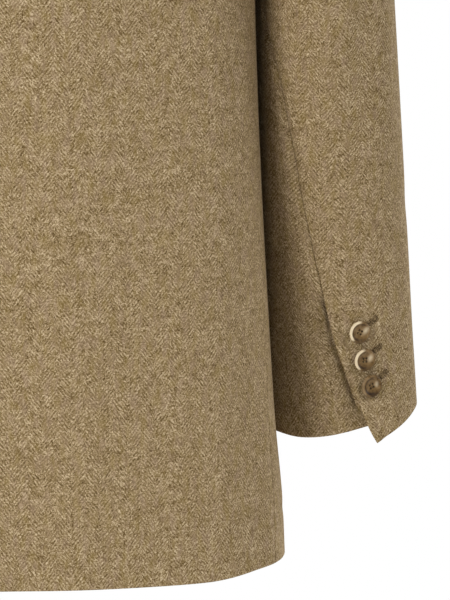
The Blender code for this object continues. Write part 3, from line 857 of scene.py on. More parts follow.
    def under_vent(self, v: Array) -> Array:
        """Distance of the vent's edge from the under sleeve's own edge beneath it.

        Args:
            v: Places along the sleeve.

        Returns:
            One distance for each place.
        """
        elbow, _ = self._under_turn(v)
        hem = np.full_like(v, UNDER_HEM[0].z)
        vent_edge = self._points(elbow + self._underlap(v), hem, v)
        return np.linalg.norm(vent_edge - self._points(elbow, hem, v), axis=-1)

    def top_straight(self, v: Array) -> Array:
        """Where along the top sleeve's rows its straight grain runs, down the outside of the arm."""
        front, elbow = self._top_turn(v)
        return -front / (elbow - front)

    def under_straight(self, v: Array) -> Array:
        """Where along the under sleeve's rows its straight grain runs, down the inside of the arm."""
        elbow, front = self._under_turn(v)
        return (self.under_straight_deg - elbow) / (front - elbow)

    def top_surface(self, side: Side) -> Surface:
        """Outer face of a top sleeve, which lifts over the under sleeve along the cuff vent.

        Args:
            side: Which sleeve.

        Returns:
            The surface, u running from the front seam to the elbow seam.
        """

        def surface(u: Array, v: Array) -> Array:
            """Points of the top sleeve.

            Args:
                u: Places along the rows.
                v: Places up the piece.

            Returns:
                The points.
            """
            front, elbow = self._top_turn(v)
            deg = front + (elbow - front) * u
            p = self._points(deg, self.top_hem(u), v)
            below = self.vent_top_z - self._height(TOP_HEM[-1].z, v)
            share = below / (self.vent_top_z - TOP_HEM[-1].z)
            from_edge = np.radians(elbow - deg) * self.cuff_radius
            lift = self.vent_lift + (self.vent_lift_hem - self.vent_lift) * share
            lift = lift * smooth(below / self.vent_fade) * smooth(1 - from_edge / self.vent_lift_width)
            a = np.radians(deg)
            p = p + lift[..., None] * np.stack([np.cos(a), np.sin(a), np.zeros_like(a)], axis=-1)
            return side.mirrored(p)

        return surface

    def under_surface(self, side: Side) -> Surface:
        """Outer face of an under sleeve, which runs on beneath the top sleeve along the cuff vent.

        Args:
            side: Which sleeve.

        Returns:
            The surface, u running from the elbow seam to the front seam.
        """

        def surface(u: Array, v: Array) -> Array:
            """Points of the under sleeve."""
            elbow, front = self._under_turn(v)
            return side.mirrored(self._points(elbow + (front - elbow) * u, self.under_hem(u), v))

        return surface


class LapelWidth(NamedTuple):
    """Width of the lapel from its roll line, at a share of the way from the break to the gorge."""

    share: float
    width: float


LAPEL_WIDTHS = (
    LapelWidth(0.00, 0.004),
    LapelWidth(0.30, 0.034),
    LapelWidth(0.60, 0.062),
    LapelWidth(0.90, 0.083),
    LapelWidth(1.00, 0.088),
)


@dataclass
class Lapel:
    """The sewn surface of a lapel turned back over its front."""

    trunk: Trunk
    gorge_share: float = 0.74
    roll: float = 0.0050
    start: float = 0.02
    fold_share: float = 0.18
    fold_deg: float = 145.0
    edge_step: float = 0.01
    swell_power: float = 0.45
    swell_span: Span = (0.25, 0.4)

    def surface(self, side: Side) -> Surface:
        """Outer face of a lapel: folded round its front's edge, then its front's own points moved out.

        Args:
            side: Which lapel.

        Returns:
            The surface, u running from the fold to the outer edge.
        """
        width = curve_through(LAPEL_WIDTHS, "share", "width")
        base = self.trunk.front_surface(side)
        fold = CLOTH + LAP_GAP / 2

        def surface(u: Array, v: Array) -> Array:
            """Points of the lapel.

            Args:
                u: Places along the rows.
                v: Places up the piece.

            Returns:
                The points.
            """
            share = self.start + (1 - self.start) * v
            height = self.trunk.front_height(self.gorge_share * share)
            flat = np.clip((u - self.fold_share) / (1 - self.fold_share), 0, 1)
            across = flat * width(share) / self.trunk.row_length(height)
            out = normals(base, across, height) * side.value
            inside = base(np.full_like(height, self.edge_step), height)
            beyond = unit(base(np.zeros_like(height), height) - inside)
            swell = np.sin(np.pi * flat**self.swell_power) * fade(share, self.swell_span)
            turn = math.radians(self.fold_deg) * np.clip(1 - u / self.fold_share, 0, 1)
            lift = CLOTH + LAP_GAP + self.roll * swell + fold * (np.cos(turn) - 1)
            return base(across, height) + lift[..., None] * out + (fold * np.sin(turn))[..., None] * beyond

        return surface


class CollarStation(NamedTuple):
    """A section of the half collar: place on the neck edge, stand and fold, and edge on the panel."""

    on: Panel
    share: float
    stand: float
    lean: float
    fold: float
    edge_u: float
    edge_v: float


COLLAR_STATIONS = (
    CollarStation(Panel.BACK, 0.00, 0.0400, 0.010, 0.0105, 0.00, 0.955),
    CollarStation(Panel.BACK, 0.50, 0.0370, 0.010, 0.0105, 0.27, 0.955),
    CollarStation(Panel.BACK, 0.85, 0.0300, 0.010, 0.0105, 0.48, 0.955),
    CollarStation(Panel.BACK, 1.00, 0.0250, 0.010, 0.0105, 0.60, 0.985),
    CollarStation(Panel.FRONT, 0.96, 0.0210, 0.009, 0.0100, 0.33, 0.960),
    CollarStation(Panel.FRONT, 0.90, 0.0150, 0.007, 0.0095, 0.37, 0.900),
    CollarStation(Panel.FRONT, 0.83, 0.0090, 0.005, 0.0085, 0.42, 0.825),
    CollarStation(Panel.FRONT, 0.775, 0.0055, 0.003, 0.0075, 0.47, 0.770),
    CollarStation(Panel.FRONT, 0.745, 0.0040, 0.002, 0.0070, 0.36, 0.745),
)


@dataclass
class Collar:
    """The sewn surface of the turned-down collar: stand, fold and fall in one."""

    trunk: Trunk
    neck_share: float = 0.455
    lift: float = 0.0036
    bulge: float = 0.0035
    tilt_share: float = 0.25
    sink: float = 0.7
    tuck: float = 0.9
    fold_top: float = 0.5
    fold_drop: float = 0.4
    stand_lean: float = 0.3
    half: Loft = field(init=False)

    def __post_init__(self) -> None:
        """Lofts half the collar from the middle of the back to the gorge."""
        rows = [self._rounded(self._section(station)) for station in COLLAR_STATIONS]
        self.half = Loft([Side.RIGHT.mirrored(rows[1]), *rows])

    def _section(self, s: CollarStation) -> Array:
        """A section's few points: foot, stand, fold, outside of the fold, fall and outer edge.

        Args:
            s: The station.

        Returns:
            The points, from the seam to the outer edge.
        """
        trunk = self.trunk
        if s.on is Panel.BACK:
            panel, facing = trunk.back, -1.0
            seam_at = np.array(self.neck_share * s.share), np.array(1.0)
            edge_at = np.array(s.edge_u), np.array(s.edge_v)
        else:
            panel, facing = trunk.front, 1.0
            seam_at = np.array(0.0), trunk.front_height(s.share)
            edge_at = np.array(s.edge_u), trunk.front_height(s.edge_v)
        seam = panel(*seam_at)
        edge = panel(*edge_at) + facing * normals(panel, *edge_at) * (CLOTH + self.lift)
        inwards = -np.array((seam[0], seam[1], 0.0)) / math.hypot(seam[0], seam[1])
        up = np.array((0.0, 0.0, 1.0))
        sunk = 1.0
        if s.on is Panel.FRONT:
            tilt = smooth((1 - s.share) / self.tilt_share)
            up = up * (1 - tilt) + normals(panel, *seam_at) * tilt
            sunk = 1 - tilt
        foot = seam + up * (LAP_GAP / 2 - sunk * self.sink * CLOTH) + inwards * sunk * self.tuck * CLOTH
        fold = seam + up * (CLOTH + s.stand + s.fold * self.fold_top) + inwards * s.lean
        outside = fold - inwards * s.fold - up * s.fold * self.fold_drop
        stand = (foot + fold) / 2 + inwards * s.lean * self.stand_lean
        fall = (outside + edge) / 2 + (up - inwards) * self.bulge
        return np.array([foot, stand, fold, outside, fall, edge])

    def _rounded(self, points: Array) -> Array:
        """A smooth line through a section's points, evenly sampled.

        Args:
            points: The section's points.

        Returns:
            The line's points.
        """
        steps = np.linalg.norm(np.diff(points, axis=0), axis=1) ** 0.5
        knots = np.concatenate(([0.0], np.cumsum(steps)))
        slopes = np.gradient(points, knots, axis=0)
        at = np.linspace(0.0, knots[-1], 4 * ROW_SAMPLES)
        k = np.clip(np.searchsorted(knots, at, side="right") - 1, 0, len(knots) - 2)
        span = (knots[k + 1] - knots[k])[:, None]
        t = (at - knots[k])[:, None] / span
        return even(hermite(points[k], points[k + 1], slopes[k] * span, slopes[k + 1] * span, t))

    def surface(self, u: Array, v: Array) -> Array:
        """Outer face of the collar: u runs from the right gorge to the left, v from the seam to the edge.

        Args:
            u: Places along the rows.
            v: Places up the piece.

        Returns:
            The points.
        """
        along = u * 2 - 1
        start = self.half.knots[1]
        p = self.half(v, start + (1 - start) * np.abs(along))
        p[..., 0] *= np.where(along < 0, -1.0, 1.0)
        return p


class Crease(NamedTuple):
    """A soft trough between two places of a piece's grain map, or a ridge where its depth is negative."""

    start: tuple[float, float]
    end: tuple[float, float]
    depth: float
    width: float

    def lift(self, across: Array, along: Array) -> Array:
        """How far the crease moves the cloth out.

        Args:
            across: Distance of each point across the grain.
            along: Distance of each point along the grain.

        Returns:
            The move out, which is negative in a trough.
        """
        line = np.subtract(self.end, self.start)
        t = ((across - self.start[0]) * line[0] + (along - self.start[1]) * line[1]) / (line @ line)
        t = np.clip(t, 0, 1)
        away = np.hypot(across - self.start[0] - t * line[0], along - self.start[1] - t * line[1])
        tapered = CREASE_END + (1 - CREASE_END) * np.sin(np.pi * t) ** CREASE_TAPER
        return -self.depth * np.exp(-((away / self.width) ** 2)) * tapered


class Cut(NamedTuple):
    """A piece as it is cut flat."""

    width: float
    length: float
    area: float


class Edges(NamedTuple):
    """How a piece's four edges are finished."""

    start: Edge
    end: Edge
    bottom: Edge
    top: Edge


class Lip(NamedTuple):
    """How far an edge of a piece, or a line away from it, stands proud or lies low between two heights."""

    rim: Rim
    lift: float
    width: float
    low: float
    high: float
    away: Curve | None = None


HEM_LINE = Lip(Rim.BOTTOM, -0.0006, 0.0055, -0.1, 1.1, lambda v: np.full_like(v, HEM_ALLOWANCE))


@dataclass
class ClothPiece:
    """One cut piece of cloth, sewn into place: a thin shell with turned edges, creases and its grain."""

    node: str
    surface: Surface
    columns: int
    rows: int
    straight: Curve
    outward: int
    edges: Edges
    cut: Cut
    rests_on: tuple[str, ...]
    hold: Hold = Hold.HUNG
    creases: tuple[Crease, ...] = ()
    lips: tuple[Lip, ...] = ()

    def build(self, finish: bpy.types.Material) -> bpy.types.Object:
        """Args:
            finish: The cloth's material.

        Returns:
            The finished piece.
        """
        u, v = self._stations()
        points = self.surface(u, v)
        across, along = self._grain(points, u, v)
        relief = self._relief(across, along, v)
        points = points + relief[..., None] * self._out(points)
        out = self._out(points)
        turn = self._turn(across, along, v)[..., None]
        outer = points - turn * out
        inner = points - (CLOTH - turn) * out
        piece = self._shell(outer, inner, np.stack([across, along], axis=-1))
        piece.data.materials.append(finish)
        self._log_cut(points, across, along)
        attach(piece, BODY)
        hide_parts(self.node)
        return piece

    def _stations(self) -> tuple[Array, Array]:
        """Grid places over the piece, closer beside its edges, as arrays of rows by columns.

        Returns:
            Places along the rows and places up the piece.
        """
        coarse = np.linspace(0, 1, COARSE_PLACES)
        grid = self.surface(*np.meshgrid(coarse, coarse))
        row = np.linalg.norm(np.diff(grid, axis=1), axis=2).sum(axis=1).mean()
        column = np.linalg.norm(np.diff(grid, axis=0), axis=2).sum(axis=0).mean()
        return np.meshgrid(self._spaced(self.columns, row), self._spaced(self.rows, column))

    @staticmethod
    def _spaced(count: int, length: float) -> Array:
        """Places from 0 to 1 with a few more beside each end, where the edge turns.

        Args:
            count: Number of steps between the places.
            length: Length that they cover.

        Returns:
            The places.
        """
        near = np.array(EDGE_STEPS) * FREE_TURN / length
        middle = np.linspace(near[-1], 1 - near[-1], count - 2 * len(near) + 3)
        return np.concatenate((near[:-1], middle, 1 - near[:-1][::-1]))

    def _grain(self, points: Array, u: Array, v: Array) -> tuple[Array, Array]:
        """Distances of every point across and along the grain, from the straight grain's foot.

        Args:
            points: Points of the sewn surface.
            u: Places along the rows.
            v: Places up the piece.

        Returns:
            Distances across and distances along.
        """
        steps = np.linalg.norm(np.diff(points, axis=1), axis=2)
        across = np.concatenate((np.zeros((len(points), 1)), np.cumsum(steps, axis=1)), axis=1)
        straight = np.broadcast_to(self.straight(v[:, 0]), v[:, 0].shape)
        at_straight = [np.interp(s, row_u, row) for s, row_u, row in zip(straight, u, across)]
        across = across - np.array(at_straight)[:, None]
        steps = np.linalg.norm(np.diff(points, axis=0), axis=2)
        along = np.concatenate((np.zeros((1, points.shape[1])), np.cumsum(steps, axis=0)), axis=0)
        foot = points[0, :, 2] if self.hold is Hold.HUNG else np.zeros(points.shape[1])
        along = along + foot - np.interp(straight[0], u[0], foot)
        return across, along

    def _edge_distances(self, across: Array, along: Array) -> tuple[Array, ...]:
        """Distance of every point from the start, end, bottom and top edges."""
        return across - across[:, :1], across[:, -1:] - across, along - along[:1], along[-1:] - along

    def _relief(self, across: Array, along: Array, v: Array) -> Array:
        """How far creases and lips move every point out; creases fade towards the edges that are held.

        Args:
            across: Distance of each point across the grain.
            along: Distance of each point along the grain.
            v: Place of each point up the piece.

        Returns:
            The move out at each point.
        """
        distances = self._edge_distances(across, along)
        free = np.ones_like(across)
        for edge, distance in zip(self.edges, distances):
            held = {Edge.FREE: 0.0, Edge.VENT: smooth((v - VENT_SHARE) / VENT_HOLD)}.get(edge, 1.0)
            free = free * (1 - held * (1 - smooth(distance / SEWN_EASE)))
        relief = sum((crease.lift(across, along) for crease in self.creases), np.zeros_like(across)) * free
        for lip in self.lips:
            between = smooth((v - lip.low) / LIP_EASE + 0.5) * smooth((lip.high - v) / LIP_EASE + 0.5)
            reach = distances[lip.rim.value] / lip.width
            if lip.away is None:
                shape = smooth(1 - reach)
            else:
                shape = np.exp(-((reach - lip.away(v[:, :1]) / lip.width) ** 2))
            relief = relief + lip.lift * between * shape
        return relief

    def _turn(self, across: Array, along: Array, v: Array) -> Array:
        """How far each face is drawn in beside the edges, where the cloth turns under.

        Args:
            across: Distance of each point across the grain.
            along: Distance of each point along the grain.
            v: Place of each point up the piece.

        Returns:
            The depth of the turn at each point.
        """
        turn = np.zeros_like(across)
        vent = FREE_TURN + (SEAM_TURN - FREE_TURN) * smooth((v - VENT_SHARE) / VENT_TURN)
        for edge, distance in zip(self.edges, self._edge_distances(across, along)):
            r = {Edge.SEWN: SEAM_TURN, Edge.VENT: vent}.get(edge, FREE_TURN)
            turn = np.maximum(turn, r - np.sqrt(np.maximum(r * r - np.maximum(r - distance, 0) ** 2, 0)))
        return turn

    def _out(self, points: Array) -> Array:
        """Unit directions out of the coat at every point of the grid."""
        along, up = np.gradient(points, axis=1), np.gradient(points, axis=0)
        return unit(np.cross(along, up)) * self.outward

    def _shell(self, outer: Array, inner: Array, grain: Array) -> bpy.types.Object:
        """Bends a grid over the outer points and extrudes it to the inner ones.

        Args:
            outer: Points of the outer face, rows by columns.
            inner: Points of the inner face.
            grain: Place of each point in the grain map.

        Returns:
            The shell as an object.
        """
        rows, columns = outer.shape[:2]
        mesh = bmesh.new()
        bmesh.ops.create_grid(mesh, x_segments=columns - 1, y_segments=rows - 1, size=0.5)
        index = mesh.verts.layers.int.new("place")
        for vert in mesh.verts:
            column = round((vert.co.x + 0.5) * (columns - 1))
            vert[index] = round((vert.co.y + 0.5) * (rows - 1)) * columns + column
        if self.outward < 0:
            bmesh.ops.reverse_faces(mesh, faces=mesh.faces)
        sheet = set(mesh.verts)
        bmesh.ops.extrude_face_region(mesh, geom=list(mesh.faces), use_keep_orig=True)
        for vert in mesh.verts:
            source = outer if vert in sheet else inner
            vert.co = source.reshape(-1, 3)[vert[index]]
        bmesh.ops.recalc_face_normals(mesh, faces=mesh.faces)
        layer = mesh.loops.layers.uv.new(GRAIN_MAP)
        places = grain.reshape(-1, 2)
        for face in mesh.faces:
            face.smooth = True
            for loop in face.loops:
                loop[layer].uv = places[loop.vert[index]]
        mesh.verts.layers.int.remove(index)
        data = mesh_of(f"{self.node}_cloth", mesh)
        data.set_sharp_from_angle(angle=math.radians(SHARP_EDGE_DEG))
        return add_piece(data)

    def _log_cut(self, points: Array, across: Array, along: Array) -> None:
        """Reports the sewn surface's own extent and area beside the cut.

        Args:
            points: Points of the piece.
            across: Distances across the grain.
            along: Distances along the grain.
        """
        du = points[:-1, 1:] - points[:-1, :-1]
        dv = points[1:, :-1] - points[:-1, :-1]
        area = np.linalg.norm(np.cross(du, dv), axis=2).sum()
        extent = np.ptp(across), np.ptp(along)
        LOG.info("%s: sewn %.3f x %.3f m, %.4f m2; cut %s", self.node, *extent, area, tuple(self.cut))


def mesh_of(name: str, made: bmesh.types.BMesh) -> bpy.types.Mesh:
    """Turns a bmesh into a mesh.

    Args:
        name: The mesh's name.
        made: The bmesh, which is freed.

    Returns:
        The mesh.
    """
    data = bpy.data.meshes.new(name)
    made.to_mesh(data)
    made.free()
    return data


def add_piece(data: bpy.types.Mesh) -> bpy.types.Object:
    """Links a mesh to the scene as an object of the same name.

    Args:
        data: The mesh.

    Returns:
        The object.
    """
    piece = bpy.data.objects.new(data.name, data)
    bpy.context.scene.collection.objects.link(piece)
    return piece


class Stage:
    """Short calls for laying out one material's nodes."""

    def __init__(self, name: str) -> None:
        """Starts a material with an empty Principled surface.

        Args:
            name: The material's name.
        """
        self.material = bpy.data.materials.new(name)
        self.material.use_nodes = True
        self.tree = self.material.node_tree
        self.shader = self.tree.nodes["Principled BSDF"]

    def node(self, kind: str, **inputs: object) -> bpy.types.Node:
        """Adds a node.

        Args:
            kind: The node's type, without its ShaderNode prefix.
            inputs: Values or sockets for its inputs, by name with _ for a space.

        Returns:
            The node.
        """
        made = self.tree.nodes.new(f"ShaderNode{kind}")
        for name, value in inputs.items():
            self.feed(made.inputs[name.replace("_", " ")], value)
        return made

    def feed(self, socket: Socket, value: object) -> None:
        """Links a socket to an input, or sets the input's value.

        Args:
            socket: The input.
            value: A socket or a value.
        """
        if isinstance(value, Socket):
            self.tree.links.new(value, socket)
        else:
            socket.default_value = value

    def math(self, operation: str, *values: object) -> Socket:
        """The result of one sum on sockets or numbers.

        Args:
            operation: The kind of sum.
            values: Its sockets or numbers.

        Returns:
            The result.
        """
        made = self.tree.nodes.new("ShaderNodeMath")
        made.operation = operation
        for socket, value in zip(made.inputs, values):
            self.feed(socket, value)
        return made.outputs[0]

    def blend(self, factor: object, a: object, b: object) -> Socket:
        """A colour between a and b.

        Args:
            factor: 0 for a and 1 for b.
            a: One colour.
            b: The other colour.

        Returns:
            The colour.
        """
        made = self.tree.nodes.new("ShaderNodeMix")
        made.data_type = "RGBA"
        self.feed(made.inputs["Factor"], factor)
        self.feed(made.inputs["A"], a)
        self.feed(made.inputs["B"], b)
        return made.outputs["Result"]

    def noise(self, vector: object, scale: float, detail: float = 2.0) -> Socket:
        """A noise value about 0.5."""
        made = self.node("TexNoise", Vector=vector, Scale=scale, Detail=detail)
        return made.outputs["Fac"]

    def window(self, value: object, low: float, high: float) -> Socket:
        """Eases from 0 at low to 1 at high.

        Args:
            value: What is eased.
            low: Where it gives 0.
            high: Where it gives 1.

        Returns:
            The eased value.
        """
        made = self.node("MapRange", Value=value, From_Min=low, From_Max=high)
        made.interpolation_type = "SMOOTHSTEP"
        return made.outputs["Result"]

    def ramp(self, value: object, stops: Sequence[tuple[float, Colour]]) -> Socket:
        """A colour picked from a few stops by a value.

        Args:
            value: What picks the colour.
            stops: Values and their colours.

        Returns:
            The colour.
        """
        made = self.node("ValToRGB", Fac=value)
        elements = made.color_ramp.elements
        while len(elements) < len(stops):
            elements.new(0.5)
        for element, (at, colour) in zip(elements, stops):
            element.position = at
            element.color = (*colour, 1.0)
        return made.outputs["Color"]

    def bump(self, height: object, distance: float, strength: float) -> None:
        """Raises the surface by a height."""
        made = self.node("Bump", Height=height, Distance=distance, Strength=strength)
        self.feed(self.shader.inputs["Normal"], made.outputs["Normal"])

    def surface(self, **inputs: object) -> bpy.types.Material:
        """Feeds the Principled surface and gives the material.

        Args:
            inputs: Values or sockets for its inputs, by name with _ for a space.

        Returns:
            The material.
        """
        for name, value in inputs.items():
            self.feed(self.shader.inputs[name.replace("_", " ")], value)
        return self.material


def linear(red: int, green: int, blue: int) -> Colour:
    """A linear colour from its 8-bit screen values."""
    parts = [value / 255 for value in (red, green, blue)]
    return tuple(p / 12.92 if p <= 0.04045 else ((p + 0.055) / 1.055) ** 2.4 for p in parts)


@dataclass(frozen=True)
class HerringboneWool:
    """Milled herringbone wool in mixed tans and browns; lengths in millimetres."""

    column: float = 11.9
    pitch: float = 3.95
    slope: float = 1.274
    drift: float = 1.6
    float_length: float = 2.2
    twill_share: float = 0.24
    yarn_share: float = 1.08
    fuzz_share: float = 1.24
    fleck_share: float = 0.55
    patch_share: float = 0.42
    cloud_share: float = 0.24
    fuzz_scale: float = 1.0
    fleck_scale: float = 0.42
    patch_scale: float = 0.15
    cloud_scale: float = 0.050
    drift_scale: float = 0.02
    yarns_per_line: float = 2.1
    rib_shift: float = 7.3
    tone_stops: tuple[float, ...] = (0.02, 0.27, 0.5, 0.73, 0.98)
    tint_stretch: Place = (0.16, 0.06, 1.0)
    tint_window: tuple[float, float] = (0.46, 0.72)
    olive_most: float = 0.40
    ash_most: float = 0.34
    ash_shift: float = 530.0
    slub_scale: float = 0.0095
    slub_window: tuple[float, float] = (0.018, 0.006)
    slub_most: float = 0.7
    yarn_height: float = 0.8
    fuzz_height: float = 0.6
    twill_height: float = 0.6
    dark: Colour = linear(76, 55, 22)
    shade: Colour = linear(111, 90, 56)
    body: Colour = linear(142, 121, 87)
    light: Colour = linear(175, 154, 120)
    pale: Colour = linear(210, 189, 155)
    olive: Colour = linear(134, 113, 62)
    ash: Colour = linear(152, 128, 108)
    slub: Colour = linear(62, 48, 30)

    def make(self) -> bpy.types.Material:
        """Lays out the weave on the grain map.

        Returns:
            The material.
        """
        s = Stage("herringbone_wool")
        uv = s.node("UVMap")
        uv.uv_map = GRAIN_MAP
        mm = s.node("VectorMath", Vector=uv.outputs["UV"])
        mm.operation = "SCALE"
        s.feed(mm.inputs["Scale"], 1000.0)
        place = mm.outputs["Vector"]
        twill, yarn = self._weave(s, place)
        fuzz = s.noise(place, self.fuzz_scale, 1.0)
        fleck = s.noise(place, self.fleck_scale, 1.0)
        patch = s.noise(place, self.patch_scale, 1.0)
        cloud = s.noise(place, self.cloud_scale)
        value = s.math("MULTIPLY_ADD", s.math("SUBTRACT", twill, 0.5), self.twill_share, 0.5)
        shares = (self.yarn_share, self.fuzz_share, self.fleck_share, self.patch_share, self.cloud_share)
        for part, share in zip((yarn, fuzz, fleck, patch, cloud), shares):
            value = s.math("MULTIPLY_ADD", s.math("SUBTRACT", part, 0.5), share, value)
        tones = (self.dark, self.shade, self.body, self.light, self.pale)
        colour = s.ramp(value, tuple(zip(self.tone_stops, tones)))
        tints = ((0.0, self.olive, self.olive_most), (self.ash_shift, self.ash, self.ash_most))
        for shift, tint, most in tints:
            spots = s.node("Mapping", Vector=place, Location=(shift, shift, 0.0), Scale=self.tint_stretch)
            share = s.window(s.noise(spots.outputs["Vector"], 1.0), *self.tint_window)
            colour = s.blend(s.math("MULTIPLY", share, most), colour, (*tint, 1.0))
        slub = s.node("TexVoronoi", Vector=place, Scale=self.slub_scale)
        spot = s.window(slub.outputs["Distance"], *self.slub_window)
        colour = s.blend(s.math("MULTIPLY", spot, self.slub_most), colour, (*self.slub, 1.0))
        height = s.math("MULTIPLY", twill, self.twill_height)
        height = s.math("MULTIPLY_ADD", fuzz, self.fuzz_height, height)
        height = s.math("MULTIPLY_ADD", yarn, self.yarn_height, height)
        s.bump(height, distance=0.0005, strength=0.35)
        return s.surface(
            Base_Color=colour,
            Roughness=0.92,
            Specular_IOR_Level=0.15,
            Sheen_Weight=0.12,
            Sheen_Roughness=0.5,
            Sheen_Tint=(*linear(214, 196, 164), 1.0),
        )

    def _weave(self, s: Stage, place: Socket) -> tuple[Socket, Socket]:
        """The twill's lines, which turn at every column, and the uneven yarn that lies along them.

        Args:
            s: The material in hand.
            place: Place on the cloth in millimetres.

        Returns:
            Height across a twill line and tone of the yarn, both from 0 to 1.
        """
        parts = s.node("SeparateXYZ", Vector=place)
        wander = s.math("MULTIPLY_ADD", s.noise(place, self.drift_scale), self.drift, -self.drift / 2)
        x = s.math("ADD", parts.outputs["X"], wander)
        y = parts.outputs["Y"]
        zig = s.math("PINGPONG", x, self.column)
        rib = s.math("FLOOR", s.math("DIVIDE", x, self.column))
        rise = s.math("MULTIPLY_ADD", zig, -self.slope, y)
        line = s.math("MULTIPLY_ADD", rib, 0.5, s.math("DIVIDE", rise, self.pitch))
        twill = s.math("MULTIPLY", s.math("PINGPONG", line, 0.5), 2.0)
        angle = math.atan(self.slope)
        run = s.math("MULTIPLY_ADD", zig, math.cos(angle), s.math("MULTIPLY", y, math.sin(angle)))
        thread = s.node(
            "CombineXYZ",
            X=s.math("MULTIPLY", line, self.yarns_per_line),
            Y=s.math("DIVIDE", run, self.float_length),
            Z=s.math("MULTIPLY", rib, self.rib_shift),
        )
        return twill, s.noise(thread.outputs["Vector"], 1.0, 1.0)


@dataclass(frozen=True)
class BrownHorn:
    """Polished brown horn, marbled, with painted highlight in pale cream, painted shade in dark horn, and
    duller horn, where the piece's own attribute says.
    """

    # Dark horn of the veins, used also for painted shade.
    deep: Colour = linear(52, 34, 14)
    brown: Colour = linear(114, 89, 55)
    grey: Colour = linear(140, 114, 79)
    # Pale cream used only for painted highlight.
    ivory: Colour = linear(228, 210, 176)
    grain_turn: Place = (0.5, 0.3, 0.9)
    grain_stretch: Place = (1.0, 0.35, 1.0)
    vein_stops: tuple[float, ...] = (0.20, 0.46, 0.72)
    scratch_scale: float = 900.0

    def make(self) -> bpy.types.Material:
        """Lays out the marbling on Object coordinates.

        Returns:
            The material.
        """
        s = Stage("brown_horn")
        place = s.node("TexCoord").outputs["Object"]
        grain = s.node("Mapping", Vector=place, Rotation=self.grain_turn, Scale=self.grain_stretch)
        marble = s.node("TexNoise", Vector=grain.outputs["Vector"], Scale=170.0, Detail=4.0, Distortion=1.2)
        veins = tuple(zip(self.vein_stops, (self.deep, self.brown, self.grey)))
        colour = s.ramp(marble.outputs["Fac"], veins)
        # The attribute paints light and shade: pale cream for painted highlight, dark horn for painted shade.
        tone = s.node("Attribute")
        tone.attribute_name = PAINTED_HORN_LIGHT
        colour = s.blend(s.window(tone.outputs["Fac"], 0.0, 1.0), colour, (*self.ivory, 1.0))
        colour = s.blend(s.window(tone.outputs["Fac"], 0.0, -1.0), colour, (*self.deep, 1.0))
        s.bump(s.noise(place, self.scratch_scale), distance=0.0001, strength=0.15)
        return s.surface(
            Base_Color=colour,
            Roughness=0.36,
            Specular_IOR_Level=0.14,
            Subsurface_Weight=0.05,
            Subsurface_Radius=(0.002, 0.0012, 0.0007),
        )


@dataclass(frozen=True)
class TwistThread:
    """Dark brown buttonhole twist."""

    dark: Colour = linear(72, 55, 30)
    light: Colour = linear(140, 118, 84)
    ply_scale: float = 1400.0
    colour_scale: float = 620.0

    def make(self) -> bpy.types.Material:
        """Lays out the thread's uneven colour on Object coordinates.

        Returns:
            The material.
        """
        s = Stage("twist_thread")
        place = s.node("TexCoord").outputs["Object"]
        s.bump(s.noise(place, self.ply_scale, 3.0), distance=0.0002, strength=0.5)
        colour = s.ramp(s.noise(place, self.colour_scale), ((0.36, self.dark), (0.66, self.light)))
        return s.surface(Base_Color=colour, Roughness=0.8, Specular_IOR_Level=0.2)


class ButtonSize(NamedTuple):
    """A turned four-hole button's sizes."""

    diameter: float
    thickness: float
    dish: float
    hole_circle: float
    hole_diameter: float


CUFF_BUTTON = ButtonSize(0.0200, 0.0040, 0.0018, 0.0041, 0.0018)
FRONT_BUTTON = ButtonSize(0.0280, 0.0048, 0.0021, 0.0062, 0.0021)


@dataclass(frozen=True)
class HornTone:
    """Where painted highlight pales a button's horn and painted shade darkens it, and how much the duller
    buttons darken, in shares of its radius or thickness, and how strongly.
    """

    # Spans of the rim's painted highlight.
    rim: Span = (0.76, 0.12)
    side: Span = (-0.05, 0.75)
    top: Span = (0.38, 0.15)
    # Spans and strength of the painted highlight inside the bowl.
    patch_side: Span = (-0.46, 0.27)
    patch_up: Span = (0.15, 0.40)
    patch_tone: float = 0.58
    # Spans and strength of the painted shade round the bowl.
    bowl: Span = (0.70, 0.10)
    bowl_side: float = 0.6
    bowl_tone: float = 0.45
    # Painted shade at the bottom of the face.
    foot: Span = (-0.75, 0.35)
    foot_rim: Span = (0.3, 0.4)
    foot_tone: float = 0.5
    # Painted shadow on the lower part of the side, next to the cloth.
    below: Span = (0.40, -0.15)
    below_rim: Span = (0.75, 0.1)
    below_tone: float = 0.9
    dull_tone: float = 0.40
    dull_patch: float = 0.6
    # Reach round each hole that is painted dark as shade.
    hole_reach: float = 0.55


